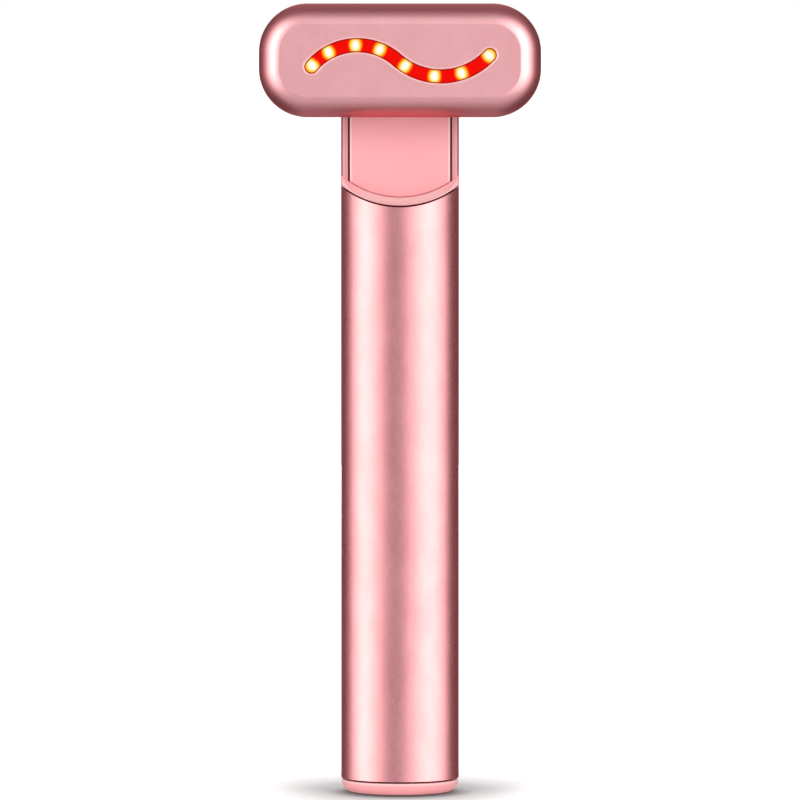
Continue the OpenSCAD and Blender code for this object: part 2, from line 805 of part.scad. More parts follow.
module board_parts() {
    rows = concat([for (rise = small_part_rises) board_lo + rise],
                  [core_lo - small_part_drop, core_lo + small_part_drop + chip_rise]);
    color("#c9b38a") for (z = rows, i = [-1 : 1])
        on_board(i * small_part_step, z, small_part[0], small_part[1], small_part[2]);
}

module switch_body() {
    color("#b9bcc0") difference() {
        on_board(0, button_z, switch_w, switch_w, switch_h);
        rod_y(stem_d + 2 * play, stem_foot_y - button_travel - 0.1, tube_d, 0, button_z);
    }
}

module switch_stem() {
    color("#1d1d20") rod_y(stem_d, stem_foot_y, stem_top_y, 0, button_z);
}

module status_lamp() {
    color("#f6f2e6") on_board(0, status_z, 1.6, 0.8, lamp_h);
}

module light_guide() {
    color("#f7f4f1") intersection() {
        rod_y(guide_d, board_back_y + lamp_h + fit, tube_d, 0, status_z);
        rod_z(2 * tube_r, status_z - 3, status_z + 3);
    }
}

// Charging socket
module usb_shell() {
    color("silver") difference() {
        slot_z(socket_w, socket_h, socket_lo, socket_lo + socket_l, socket_y);
        slot_z(socket_w - 2 * socket_wall, socket_h - 2 * socket_wall, socket_lo - over,
               socket_lo + socket_l - socket_wall, socket_y);
    }
}

module usb_tongue() {
    inner_end = socket_lo + socket_l - socket_wall - touch;
    color("#1d1d20") {
        block(-tongue_w / 2, tongue_w / 2, socket_y - tongue_t / 2, socket_y + tongue_t / 2,
              socket_lo + tongue_t, inner_end - tongue_base);
        slot_z(socket_w - 2 * socket_wall - 2 * touch, socket_h - 2 * socket_wall - 2 * touch,
               inner_end - tongue_base - 0.1, inner_end, socket_y);
    }
}

// Cable from the board to the pivot
module head_socket() {
    u = housing_w / 2;
    w = housing_wall;
    color("#efe9dd") difference() {
        block(plug_x - u, plug_x + u, board_back_y, board_back_y + housing_t,
              socket_top_z - housing_h, socket_top_z);
        block(plug_x - u + w, plug_x + u - w, board_back_y + w, board_back_y + housing_t - w,
              socket_top_z - housing_h + 1, socket_top_z + over);
    }
}

module head_plug() {
    u = housing_w / 2;
    w = housing_wall + play;
    color("#f4f0e6") {
        block(plug_x - u + w, plug_x + u - w, board_back_y + w, board_back_y + housing_t - w,
              socket_top_z - housing_h + 1 + play, socket_top_z + 1);
        block(plug_x - u, plug_x + u, board_back_y + fit, board_back_y + housing_t - fit,
              socket_top_z + touch, socket_top_z + 2);
    }
}

module head_cable() {
    y = board_back_y + housing_t / 2;
    color("#8d8d92") cable([
        [plug_x, y, socket_top_z + 2 + touch], [plug_x, y, socket_top_z + 5],
        [plug_x, y, neck_lo + 6], [plug_x - 0.7, y, neck_lo + 16], [1.6, y + 0.2, pivot_z - 12],
        [0.2, y, pivot_z - 4], [0, shaft_end_y + 3, pivot_z], [0, shaft_end_y + 1.6, pivot_z],
        [0, shaft_end_y + touch, pivot_z]
    ], cable_d);
}

// Vibration motor
module motor_can() {
    color("silver") rod_z(motor_d, motor_lo + 0.1, motor_hi, 0, cell_y);
}

module motor_sleeve() {
    color("#3a3a3d") ring_z(sleeve_d, motor_d + play, motor_lo + 0.5, motor_hi - 0.5, cell_y);
}

module motor_leads() {
    for (s = [-1, 1]) color(s < 0 ? "#c8202a" : "#202022") cable([
        [s, cell_y, motor_lo + 0.1 - touch], [s, cell_y, core_hi - 0.5],
        [s * 1.2, -0.6, core_lo + 4.6], [s * 1.3, 2, core_lo + 4.3 - 2 * (s < 0 ? 1 : 0)],
        [s * 1.3, board_y - touch, core_lo + 4.3 - 2 * (s < 0 ? 1 : 0)]
    ], motor_lead_d);
}

module motor_shaft() {
    color("silver") rod_z(motor_shaft_d, motor_hi + touch,
                          motor_hi + weight_gap + weight_h - 0.1, 0, cell_y);
}

module motor_weight() {
    z0 = motor_hi + weight_gap;
    color("#6c6a6a") difference() {
        translate([0, cell_y, z0]) union() {
            rotate([0, 0, 90]) rotate_extrude(angle = 180) square([weight_r, weight_h]);
            cylinder(d = motor_shaft_d + 1.4, h = weight_h);
        }
        rod_z(motor_shaft_d + touch, z0 - over, z0 + weight_h + over, 0, cell_y);
    }
}

// Button
module button_bezel() {
    color("#c98a90") intersection() {
        ring_y(bezel_d, button_d + 2 * fit, bezel_in_y, tube_d, button_z);
        rod_z(2 * bezel_face_r, button_z - tube_r, button_z + tube_r);
    }
}

module mode_button() {
    color("#f7b3b8") intersection() {
        union() {
            rod_y(button_d, flange_y, tube_d, 0, button_z);
            rod_y(button_flange_d, flange_y, flange_y + flange_h, 0, button_z);
        }
        rod_z(2 * button_face_r, button_z - tube_r, button_z + tube_r);
    }
}

// Base
module base_cap() {
    seal_z = seam_z + spigot_h / 2;
    color("#f4a9b0") difference() {
        union() {
            rotate_extrude() {
                square([base_r - base_edge_r, seam_z]);
                translate([base_r - base_edge_r, base_edge_r])
                    square([base_edge_r, seam_z - base_edge_r]);
                translate([base_r - base_edge_r, base_edge_r]) intersection() {
                    circle(base_edge_r);
                    translate([0, -base_edge_r]) square(base_edge_r);
                }
            }
            rod_z(2 * spigot_r, seam_z - 0.2, spigot_z);
        }
        difference() {
            rod_z(2 * (spigot_r - spigot_wall), floor_t, spigot_z + over);
            for (s = [-1, 1]) rod_z(tower_d, 0, spigot_z + 2 * over, s * base_screw_x, base_screw_y);
        }
        ring_z(2 * spigot_r + 2, 2 * (spigot_r - seal_d),
               seal_z - seal_d / 2 - fit, seal_z + seal_d / 2 + fit);
        slot_z(socket_w + 2 * fit, socket_h + 2 * fit, -over, spigot_z + over, socket_y);
        for (s = [-1, 1]) {
            rod_z(screw_d + 2 * play, -over, tower_z + over, s * base_screw_x, base_screw_y);
            rod_z(screw_head_d + 2 * fit, -over, base_screw_seat, s * base_screw_x, base_screw_y);
        }
    }
    color("#f4a9b0") for (s = [-1, 1]) difference() {
        rod_z(tower_d, spigot_z - 0.1, tower_z, s * base_screw_x, base_screw_y);
        rod_z(screw_d + 2 * play, 0, tower_z + over, s * base_screw_x, base_screw_y);
    }
}

module base_seal() {
    r = spigot_r - seal_d / 2 + 0.03;
    color("#2b2b2e") translate([0, 0, seam_z + spigot_h / 2])
        rotate_extrude() translate([r, 0]) circle(d = seal_d);
}

module base_screws() {
    color("silver") for (s = [-1, 1])
        translate([s * base_screw_x, base_screw_y, base_screw_seat - touch])
            mirror([0, 0, 1]) small_screw(base_screw_l);
}

// Head
module head_front_shell() {
    color("#e0a0a6") {
        difference() {
            head_form();
            head_form(head_wall);
            block(-head_l, head_l, head_part_y - seam / 2, 0, 0, pivot_z + head_l);
            wave_band(wave_w, head_front_y - over, head_front_y + head_wall + over);
            wave_band(wave_w, head_front_y - touch, head_front_y + window_bevel,
                      wave_w + 2 * window_bevel);
        }
        for (at = boss_at) difference() {
            rod_y(boss_d, head_front_y + head_wall - 0.1, led_board_y - touch, at[0], pivot_z + at[1]);
            rod_y(screw_d + 2 * play, led_board_y - boss_screw_l + led_board_t - 0.2, led_board_y,
                  at[0], pivot_z + at[1]);
        }
    }
}

module window_lens() {
    color("#ff1e14") {
        wave_band(wave_w - 2 * play, head_front_y + window_recess, head_front_y + head_wall + 2 * touch);
        wave_band(lens_flange_w, head_front_y + head_wall + touch, lens_back_y);
    }
}

module led_board() {
    color("#f3f1ea") difference() {
        head_slab(led_board_l, led_board_h, led_board_r, led_board_y, led_board_y + led_board_t);
        for (at = boss_at)
            rod_y(screw_d + 4 * play, led_board_y - over, led_board_y + 2, at[0], pivot_z + at[1]);
    }
}

module red_lamps() {
    color("#ffd27a") for (i = [0 : lamp_count - 1]) {
        at = wave_at(lamp_s(i));
        translate([at[0] - lamp_w / 2, led_board_y - lamp_t, pivot_z + at[1] - lamp_w / 2])
            cube([lamp_w, lamp_t, lamp_w]);
    }
}

module lamp_board_screws() {
    color("silver") for (at = boss_at)
        translate([at[0], led_board_y + led_board_t, pivot_z + at[1]])
            rotate([-90, 0, 0]) small_screw(boss_screw_l);
}

module head_back_shell() {
    color("#dc9aa1") difference() {
        union() {
            difference() {
                head_form();
                block(-head_l, head_l, head_front_y - over, head_part_y + seam / 2, 0, pivot_z + head_l);
            }
            // Flat pad that bears on the washer and carries the stop pin
            rod_y(2 * pad_r, flange_back_y, head_back_y, 0, pivot_z);
            // Lip that centres the front shell
            head_slab(head_l - 2 * lip_in, head_h - 2 * lip_in, head_corner_r - lip_in,
                      head_part_y - lip_depth, head_part_y + 1);
        }
        head_slab(head_l - 2 * back_wall, head_h - 2 * back_wall, head_corner_r - back_wall,
                  head_front_y, head_back_y - back_wall, head_back_r - back_wall);
        rod_y(flange_d + 2 * fit, head_front_y, flange_back_y, 0, pivot_z);
        rod_y(shaft_d + 2 * play, flange_back_y - over, 0, 0, pivot_z);
        rod_y(stop_pin_d + 2 * play, head_back_y - pin_hole_l, 0, 0, pivot_z - stop_r);
        // Track in which the detent ball runs
        translate([0, head_back_y, pivot_z]) rotate([-90, 0, 0])
            rotate_extrude(angle = -200, start = 10)
                translate([stop_r - detent_hole_d / 2, -track_depth])
                    square([detent_hole_d, track_depth + over]);
        // Dimples that hold the head across the handle and folded to either side
        for (a = [0, 90, 180]) translate([stop_r * cos(a), ball_y, pivot_z + stop_r * sin(a)])
            sphere(d = dimple_d, $fn = 48);
        for (i = [0 : 2])
            rod_y(screw_d + 2 * play, flange_back_y - over, head_back_y - 0.5,
                  shaft_screw_r * cos(120 * i + 30), pivot_z + shaft_screw_r * sin(120 * i + 30));
    }
}

module pivot_shaft() {
    color("silver") difference() {
        union() {
            rod_y(flange_d, flange_front_y, flange_back_y - touch, 0, pivot_z);
            rod_y(shaft_d, flange_front_y, shaft_end_y, 0, pivot_z);
        }
        rod_y(shaft_bore, flange_front_y - over, shaft_end_y + over, 0, pivot_z);
        ring_y(shaft_d + 2, groove_d, clip_y - play, clip_y + clip_t + play, pivot_z);
        for (i = [0 : 2])
            rod_y(screw_d + 2 * play, flange_front_y - over, flange_back_y + over,
                  shaft_screw_r * cos(120 * i + 30), pivot_z + shaft_screw_r * sin(120 * i + 30));
    }
}

module shaft_screws() {
    color("silver") for (i = [0 : 2])
        translate([shaft_screw_r * cos(120 * i + 30), flange_front_y - touch,
                   pivot_z + shaft_screw_r * sin(120 * i + 30)])
            rotate([90, 0, 0]) small_screw(shaft_screw_l);
}

module retaining_clip() {
    color("#8f9296") difference() {
        ring_y(bush_d, groove_d + 2 * play, clip_y, clip_y + clip_t, pivot_z);
        block(-clip_gap / 2, clip_gap / 2, clip_y - over, clip_y + clip_t + over,
              pivot_z, pivot_z + bush_d);
    }
}

module stop_pin() {
    color("silver") rod_y(stop_pin_d, head_back_y - pin_hole_l + touch, stop_end_y, 0, pivot_z - stop_r);
}

module lamp_cable() {
    y = led_board_y + led_board_t;
    color("#8d8d92") cable([
        [0, y + touch, pivot_z + 2.2], [0, y + 1.4, pivot_z + 2],
        [0, flange_front_y - 1.2, pivot_z + 0.2], [0, flange_front_y, pivot_z],
        [0, head_back_y, pivot_z], [0, shaft_end_y, pivot_z]
    ], cable_d);
}

handle_tube();
neck_frame();
neck_panel();
pivot_bush();
thrust_washer();
wave_washer();
detent_ball();
detent_spring();
chassis();
neck_screws();
battery_cell();
battery_pads();
battery_leads();
main_board();
board_screws();
controller_chip();
charger_chip();
power_coil();
board_parts();
switch_body();
status_lamp();
light_guide();
usb_shell();
usb_tongue();
head_socket();
head_plug();
head_cable();
motor_can();
motor_sleeve();
motor_leads();
button_bezel();
base_cap();
base_seal();
base_screws();
head_front_shell();
window_lens();
led_board();
red_lamps();
lamp_board_screws();
head_back_shell();
pivot_shaft();
shaft_screws();
retaining_clip();
stop_pin();
lamp_cable();
mode_button();
switch_stem();
motor_shaft();
motor_weight();
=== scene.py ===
# %% [markdown]
# # A skincare wand and its finishes
# The wand is a round rose metal handle with a soft plastic neck and foot, and a wide metal head that
# swivels on the neck. Red lamps shine through a wavy window in the head.
#
# Every solid piece comes from the frame at its real size, in metres. The foot stands on z = 0, the
# handle runs up along Z and the window looks towards -Y. This lesson gives each piece its finish,
# softens the edges that catch the light, and builds the few pieces whose surface is finer than a
# solid model holds.

# %% Load the frame
import json
from math import atan2, cos, degrees, pi, radians, sin, sqrt

import bmesh
import bpy
import numpy as np
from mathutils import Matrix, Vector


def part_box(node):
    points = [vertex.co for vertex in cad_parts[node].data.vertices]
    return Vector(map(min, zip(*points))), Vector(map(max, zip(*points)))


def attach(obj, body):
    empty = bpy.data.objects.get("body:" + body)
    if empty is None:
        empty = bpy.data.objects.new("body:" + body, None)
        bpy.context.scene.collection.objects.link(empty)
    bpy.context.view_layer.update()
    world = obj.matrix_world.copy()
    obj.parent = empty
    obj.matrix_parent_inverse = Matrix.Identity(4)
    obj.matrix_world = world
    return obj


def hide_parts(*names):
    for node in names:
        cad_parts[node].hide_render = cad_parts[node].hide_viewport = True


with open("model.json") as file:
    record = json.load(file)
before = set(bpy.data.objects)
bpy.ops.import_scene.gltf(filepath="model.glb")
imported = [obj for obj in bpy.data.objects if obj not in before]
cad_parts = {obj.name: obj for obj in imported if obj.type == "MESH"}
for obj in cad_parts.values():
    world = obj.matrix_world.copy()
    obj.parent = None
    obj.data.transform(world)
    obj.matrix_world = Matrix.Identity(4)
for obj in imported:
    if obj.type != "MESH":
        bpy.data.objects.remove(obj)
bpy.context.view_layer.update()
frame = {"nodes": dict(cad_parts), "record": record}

nodes = frame["nodes"]
record = frame["record"]
mm = 0.001

# %% [markdown]
# ## The camera
# A product photograph of a slim object is taken from far away with a long lens, so that the object's
# sides stay parallel. The camera could be shifted to frame the wand. Here it stands level with the
# head and tips down a little, as the curved seam of the foot shows, and needs no shift.

# %% Camera
image_width = 800
pixels_per_mm = 5.13
camera_distance = 1.5
camera_height = 147.5 * mm
height_at_centre = 76.46 * mm

seen_width = image_width / pixels_per_mm * mm
tip_down = atan2(camera_height - height_at_centre, camera_distance)
portrait = bpy.data.cameras.new("portrait")
portrait.lens = portrait.sensor_width * camera_distance / seen_width
camera = bpy.data.objects.new("portrait", portrait)
camera.location = (0, -camera_distance, camera_height)
camera.rotation_euler = (pi / 2 - tip_down, 0, 0)
bpy.context.scene.collection.objects.link(camera)
bpy.context.scene.camera = camera
bpy.context.scene.view_settings.view_transform = "Standard"
print("lens", round(portrait.lens), "mm, tipped down", round(degrees(tip_down), 1), "degrees")

# %% [markdown]
# ## Writing shaders as sums
# A pattern on a surface is arithmetic: a noise, scaled, shifted and added to another. Nodes could be
# placed and joined one by one, but the sum is then hard to read. The small class below wraps one
# socket, so that plus, minus and times add the Math nodes, and the pattern stays one line of text.

# %% Wires and trees
def join(tree, slot, value):
    """Links a wire to a slot, or writes a plain value in it."""
    if isinstance(value, Wire):
        tree.links.new(value.socket, slot)
    else:
        slot.default_value = value


class Wire:
    """A socket used as a number: an operator between wires and numbers adds a Math node."""

    def __init__(self, tree, socket):
        self.tree = tree
        self.socket = socket

    def math(self, operation, *others):
        node = self.tree.nodes.new("ShaderNodeMath")
        node.operation = operation
        for slot, value in zip(node.inputs, (self, *others)):
            join(self.tree, slot, value)
        return Wire(self.tree, node.outputs[0])

    def __add__(self, other):
        return self.math("ADD", other)

    def __sub__(self, other):
        return self.math("SUBTRACT", other)

    def __rsub__(self, other):
        return self.math("MULTIPLY_ADD", -1.0, other)

    def __mul__(self, other):
        return self.math("MULTIPLY", other)

    __radd__ = __add__
    __rmul__ = __mul__

    def larger(self, other):
        return self.math("MAXIMUM", other)

    def rise(self, low, high):
        """A smooth step: 0 up to low, 1 from high on. With low above high it falls instead."""
        node = self.tree.nodes.new("ShaderNodeMapRange")
        node.interpolation_type = "SMOOTHSTEP"
        for name, value in (("Value", self), ("From Min", low), ("From Max", high)):
            join(self.tree, node.inputs[name], value)
        return Wire(self.tree, node.outputs[0])


def add_node(tree, kind, settings, sockets, output=0):
    """Adds a node of any kind: its settings first, then its sockets by name or number."""
    node = tree.nodes.new(kind)
    for name, value in settings.items():
        setattr(node, name, value)
    for name, value in sockets.items():
        join(tree, node.inputs[name], value)
    return Wire(tree, node.outputs[output])


def blend_colours(tree, share, first, second):
    """The first colour where share is 0 and the second where it is 1."""
    return add_node(tree, "ShaderNodeMix", {"data_type": "RGBA"}, {0: share, 6: first, 7: second}, 2)


# %% [markdown]
# ## The room
# Satin metal has little colour of its own: what it shows is the room. The photograph's tube has two
# tall bright bands, a darker middle and dark edges, which is the picture of two softboxes beside the
# camera and black cards behind the object. A room of planes could be built, but a long softbox would
# cut through the floor. So the sky itself holds the picture for glossy rays, as a function of the
# compass angle and the height. The camera sees plain white, and matt surfaces see a plain grey.

# %% Sky
white = (1, 1, 1, 1)
black = (0, 0, 0, 1)
sky = bpy.data.worlds.new("studio")
sky.use_nodes = True
sky.cycles.sampling_method = "NONE"
bpy.context.scene.world = sky
tree = sky.node_tree
background = tree.nodes["Background"]

direction = add_node(tree, "ShaderNodeTexCoord", {}, {}, "Object")
split = tree.nodes.new("ShaderNodeSeparateXYZ")
join(tree, split.inputs[0], direction)
east, north, up = (Wire(tree, socket) for socket in split.outputs)
# Degrees round from the camera, rising towards +X, and degrees above the horizon
radian = degrees(1)
compass = east.math("ARCTAN2", 0 - north) * radian
lift = up.math("ARCSINE") * radian


def band(start, peak, end):
    """A softbox as a band of sky: dark at the start, brightest at the peak, dark again at the end."""
    return compass.rise(start, peak) * compass.rise(end, peak)


side_level = 0.24
wall_level = 0.4
ceiling_level = 0.16
box_level = 2.2
pole_level = 0.52
off_axis = compass.math("ABSOLUTE")
front_wall = wall_level * off_axis.rise(118, 88)
rear_wall = wall_level * off_axis.rise(152, 176) * lift.rise(60, 25)
ceiling = ceiling_level * lift.rise(18, 38) * lift.rise(80, 55)
left_box, right_box = band(-134, -73, -15), band(-7, 61, 125)
boxes = box_level * (left_box + right_box) * lift.rise(-45, 0) * lift.rise(70, 20)
lit = side_level + front_wall + rear_wall + ceiling + boxes
# Straight up and straight down the room has no walls, so it fades to one even level
between_poles = lift.rise(92, 60) * lift.rise(-80, -44)
reflected = pole_level + (lit - pole_level) * between_poles

matt_level = 0.54
rays = tree.nodes.new("ShaderNodeLightPath")
seen_by_camera = Wire(tree, rays.outputs["Is Camera Ray"])
seen_in_gloss = Wire(tree, rays.outputs["Is Glossy Ray"])
seen_through = Wire(tree, rays.outputs["Is Transmission Ray"])
plain_white = seen_by_camera.larger(seen_through)
level = matt_level + (reflected - matt_level) * seen_in_gloss
join(tree, background.inputs["Strength"], level + (1 - level) * plain_white)
# The dark parts of a room keep a little of the pink that the wand throws on them
dusk = (1.0, 0.68, 0.68, 1)
warm = (1.0, 0.98, 0.9, 1)
tint = blend_colours(tree, reflected.rise(0.1, 0.8), dusk, white)
tint = blend_colours(tree, boxes.rise(0, 2), tint, warm)
join(tree, background.inputs["Color"], blend_colours(tree, seen_in_gloss, white, tint))

# %% [markdown]
# ## Lamps
# The photographer's softboxes also light the matt surfaces and throw the shadow round the foot. The
# sky alone could light them, but its light comes from all sides and leaves no shadow. So area lamps
# stand where the two softboxes are, and one more behind. They are hidden from glossy rays, because
# the sky already shows the softboxes there.

# %% Lamps
lamp_reach = 1.1
lamp_width, lamp_height = 0.7, 0.8
lamp_tip = radians(12)


def softbox(name, angle, watts):
    """An area lamp at a compass angle round the wand, a little above it and turned towards it."""
    light = bpy.data.lights.new(name, "AREA")
    light.shape = "RECTANGLE"
    light.size = lamp_width
    light.size_y = lamp_height
    light.energy = watts
    lamp = bpy.data.objects.new(name, light)
    turn = radians(angle)
    level_reach = lamp_reach * cos(lamp_tip)
    lamp.location = (level_reach * sin(turn), -level_reach * cos(turn),
                     height_at_centre + lamp_reach * sin(lamp_tip))
    lamp.rotation_euler = (pi / 2 - lamp_tip, 0, turn)
    lamp.visible_glossy = False
    bpy.context.scene.collection.objects.link(lamp)


softbox("left_softbox", -50, 5.8)
softbox("right_softbox", 46, 5.8)
softbox("rear_softbox", 178, 5)

# %% [markdown]
# ## The floor
# The wand stands on a pale sheet that runs out of sight. For the camera the sheet glows a little, so
# that it reads white up to the horizon and still keeps the soft shadow round the foot. The shadow
# could come from the lamps alone, but the metal throws so much light down that it would look thin.
# So the sheet's own colour deepens it close to the foot, also for the camera only.

# %% Floor
def add_mesh(name, points, faces):
    """An object at the origin from arrays of points and faces, its doubled points merged."""
    mesh = bpy.data.meshes.new(name)
    mesh.from_pydata(np.asarray(points).reshape(-1, 3), [], faces.tolist())
    shape = bmesh.new()
    shape.from_mesh(mesh)
    bmesh.ops.remove_doubles(shape, verts=shape.verts, dist=1e-6)
    bmesh.ops.recalc_face_normals(shape, faces=shape.faces)
    shape.to_mesh(mesh)
    shape.free()
    mesh.polygons.foreach_set("use_smooth", np.full(len(mesh.polygons), True))
    piece = bpy.data.objects.new(name, mesh)
    bpy.context.scene.collection.objects.link(piece)
    return piece


floor_reach = 200.0
floor_points = [(x * floor_reach, y * floor_reach, 0) for x, y in ((-1, -1), (1, -1), (1, 1), (-1, 1))]
floor = add_mesh("floor", floor_points, np.array([[0, 1, 2, 3]]))
floor.visible_glossy = False

floor_paint = bpy.data.materials.new("floor_paint")
floor_paint.use_nodes = True
tree = floor_paint.node_tree
shader = tree.nodes["Principled BSDF"]
shader.inputs["Roughness"].default_value = 0.9
shader.inputs["Specular IOR Level"].default_value = 0.0
shader.inputs["Emission Strength"].default_value = 1.0
by_camera = add_node(tree, "ShaderNodeLightPath", {}, {}, "Is Camera Ray")
place = add_node(tree, "ShaderNodeTexCoord", {}, {}, "Object")


def distance_from(shift, stretch):
    """Distance in metres from the handle's axis, moved by shift, with Y stretched for an oval."""
    moved = add_node(tree, "ShaderNodeVectorMath", {"operation": "ADD"}, {0: place, 1: shift})
    settings = {"operation": "MULTIPLY"}
    oval = add_node(tree, "ShaderNodeVectorMath", settings, {0: moved, 1: (1, stretch, 1)})
    return add_node(tree, "ShaderNodeVectorMath", {"operation": "LENGTH"}, {0: oval}, "Value")


from_axis = distance_from((0, 0, 0), 1)
from_oval = distance_from((0, 0, 0), 0.75)
from_spot = distance_from((0, 3 * mm, 0), 1)
open_floor = (0.93, 0.93, 0.93, 1)
near_foot = (0.52, 0.60, 0.60, 1)
under_foot = (0.08, 0.055, 0.055, 1)
shade = blend_colours(tree, by_camera * from_axis.rise(26 * mm, 10 * mm), open_floor, near_foot)
shade = blend_colours(tree, by_camera * from_spot.rise(15.5 * mm, 7.5 * mm), shade, under_foot)
join(tree, shader.inputs["Base Color"], shade)

spot_glow, near_glow, far_glow = 0.03, 0.1, 0.7
glow = spot_glow + (near_glow - spot_glow) * from_spot.rise(7 * mm, 14 * mm)
glow = glow + (far_glow - near_glow) * from_oval.rise(14 * mm, 46 * mm)
join(tree, shader.inputs["Emission Color"], blend_colours(tree, by_camera * glow, black, white))
floor.data.materials.append(floor_paint)
print("floor", 2 * floor_reach, "m wide")

# %% [markdown]
# ## Patterns that the finishes share
# Every finish needs two things: slow clouds, from the way it was polished, dyed or moulded, and a
# fine grain that breaks up its gloss. Both are noises on the piece's own place in metres, so they
# keep their scale on every piece. Stretching the noise along Z gives the long drawn look of a tube.

# %% Clouds and grain
def clouds(tree, size, stretch=1.0, detail=3.0):
    """A noise from 0 to 1 with features of the given size, drawn out along Z by stretch."""
    place = add_node(tree, "ShaderNodeTexCoord", {}, {}, "Object")
    drawn = add_node(tree, "ShaderNodeMapping", {}, {"Vector": place, "Scale": (1, 1, 1 / stretch)})
    settings = {"Vector": drawn, "Scale": 1 / size, "Detail": detail, "Roughness": 0.6}
    return add_node(tree, "ShaderNodeTexNoise", {}, settings, 0)


def start_finish(name, **even):
    """A material with its Principled shader; even values, the same all over, are set directly."""
    material = bpy.data.materials.new(name)
    material.use_nodes = True
    shader = material.node_tree.nodes["Principled BSDF"]
    for socket, value in even.items():
        shader.inputs[socket.replace("_", " ")].default_value = value
    return material, material.node_tree, shader


def bump(tree, shader, height, depth):
    """Raises the surface by height, from 0 to 1, times depth in metres."""
    sockets = {"Height": height, "Distance": depth, "Strength": 1.0}
    join(tree, shader.inputs["Normal"], add_node(tree, "ShaderNodeBump", {}, sockets))


# %% [markdown]
# ## Rose metal
# The tube and the head are aluminium, blasted, dyed rose and sealed. Blasting leaves a grain far
# finer than a millimetre, which spreads each highlight into a soft band, and the dye takes a little
# more here and a little less there. Plain metal with one roughness would look like foil, so the
# clouds move both the colour and the roughness, and the grain is true bump.

# %% Rose metal
def rose_metal(name, deep, light, gloss, stretch):
    """Dyed, blasted aluminium: gloss is its roughness, stretch draws the clouds along Z."""
    material, tree, shader = start_finish(name, Metallic=1.0, Specular_Tint=(0.75, 0.42, 0.42, 1))
    slow = clouds(tree, 5 * mm, stretch)
    fine = clouds(tree, 0.9 * mm, stretch)
    grain = clouds(tree, 0.14 * mm, 1.0, 1.0)
    tone = (slow * 0.8 + fine * 0.2).rise(0.2, 0.8)
    join(tree, shader.inputs["Base Color"], blend_colours(tree, tone, deep, light))
    join(tree, shader.inputs["Roughness"], gloss + (fine - 0.5) * 0.10 + (grain - 0.5) * 0.08)
    bump(tree, shader, grain, 0.004 * mm)
    return material


tube_metal = rose_metal("rose_metal_tube", (0.70, 0.295, 0.32, 1), (0.82, 0.365, 0.39, 1), 0.27, 2.0)
# Painted light: the head's colours are paler than the tube's, though both are the same dyed metal, to
# make its face brighter than the room alone lights it
head_metal = rose_metal("rose_metal_head", (0.91, 0.45, 0.48, 1), (0.97, 0.50, 0.53, 1), 0.31, 1.5)

# %% [markdown]
# ## Blush plastic
# Neck, panel and foot are moulded in one pale pink. Fresh from a polished tool such plastic is
# softly glossy, with a fine orange-peel surface and hardly any change of colour. A little light
# enters it, which a touch of scattering under the surface would give, but at this size a warm even
# colour does the same.

# %% Blush plastic
blush = (0.93, 0.395, 0.415, 1)
blush_warm = (0.96, 0.435, 0.45, 1)


def soft_plastic(name, first, second, gloss, peel=0.003 * mm):
    """Moulded plastic between two near colours, with a faint orange-peel surface."""
    material, tree, shader = start_finish(name, IOR=1.5)
    slow = clouds(tree, 9 * mm)
    skin = clouds(tree, 0.5 * mm, 1.0, 2.0)
    join(tree, shader.inputs["Base Color"], blend_colours(tree, slow, first, second))
    join(tree, shader.inputs["Roughness"], gloss + (skin - 0.5) * 0.08)
    bump(tree, shader, skin, peel)
    return material


blush_plastic = soft_plastic("blush_plastic", blush, blush_warm, 0.38)
button_plastic = soft_plastic("button_plastic", blush, blush_warm, 0.25)

# %% [markdown]
# ## Shadow gaps
# The dark lines between the outer pieces are gaps a fifth of a millimetre wide. Light that enters
# such a gap hardly comes out again, because its walls are bare, dull and close together. A renderer
# could follow that light with many bounces, but a wall that darkens with its depth in the gap shows
# the same line from every side and with little noise.

# %% Shadow gaps
panel_low, panel_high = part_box("neck_panel")
neck_face_y, panel_half = panel_low[1], panel_high[0]
slit_half = panel_half + 0.28 * mm
# The collar is part of a ring round a point of the neck
collar_z = 133.6 * mm
collar_inner, collar_outer = 17.6 * mm, 19.0 * mm
seam_depth = 0.1 * mm
# Distances from the middle plane: where the collar's painted light fades to its palest middle, and
# where the strip beside the slit has its painted highlight line and its painted dark edge
collar_light_fade = (10.5 * mm, 6 * mm)
strip_highlight_start, strip_highlight_end = (10.68 * mm, 10.82 * mm), (11.12 * mm, 11.0 * mm)
strip_dark_edge_start = (11.14 * mm, 11.24 * mm)
# The cap's shoulder lies a seam below the tube, and is let down further where it is softened
tube_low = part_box("handle_tube")[0][2]
cap_seam = 0.2 * mm
shoulder_drop = 0.35 * mm
cap_top = tube_low - cap_seam - shoulder_drop
gap_shade = (0.09, 0.007, 0.012, 1)
seam_shade = (0.2, 0.018, 0.026, 1)
collar_middle_painted_light = (1.0, 0.74, 0.72, 1)
collar_ends_painted_light = (1.0, 0.55, 0.56, 1)
painted_edge_highlight = (1.0, 0.62, 0.62, 1)
strip_painted_shade = (0.72, 0.28, 0.30, 1)
strip_painted_highlight = (0.72, 0.38, 0.40, 1)
strip_edge_painted_shade = (0.20, 0.045, 0.055, 1)


def axes_of(tree):
    """The piece's own X, Y and Z, in metres, as three wires."""
    split = tree.nodes.new("ShaderNodeSeparateXYZ")
    join(tree, split.inputs[0], add_node(tree, "ShaderNodeTexCoord", {}, {}, "Object"))
    return [Wire(tree, socket) for socket in split.outputs]


def recolour(tree, mask, colour):
    """Lays a colour over what the shader's Base Color has so far, where mask is 1."""
    socket = tree.nodes["Principled BSDF"].inputs["Base Color"]
    before = Wire(tree, socket.links[0].from_socket)
    join(tree, socket, blend_colours(tree, mask, before, colour))


def lay_over(tree, mask, colour):
    """Covers all the tree shows so far with a matt colour, without any gloss, where mask is 1."""
    surface = tree.nodes["Material Output"].inputs["Surface"]
    before = Wire(tree, surface.links[0].from_socket)
    matt = add_node(tree, "ShaderNodeBsdfDiffuse", {}, {"Color": colour})
    join(tree, surface, add_node(tree, "ShaderNodeMixShader", {}, {0: mask, 1: before, 2: matt}))


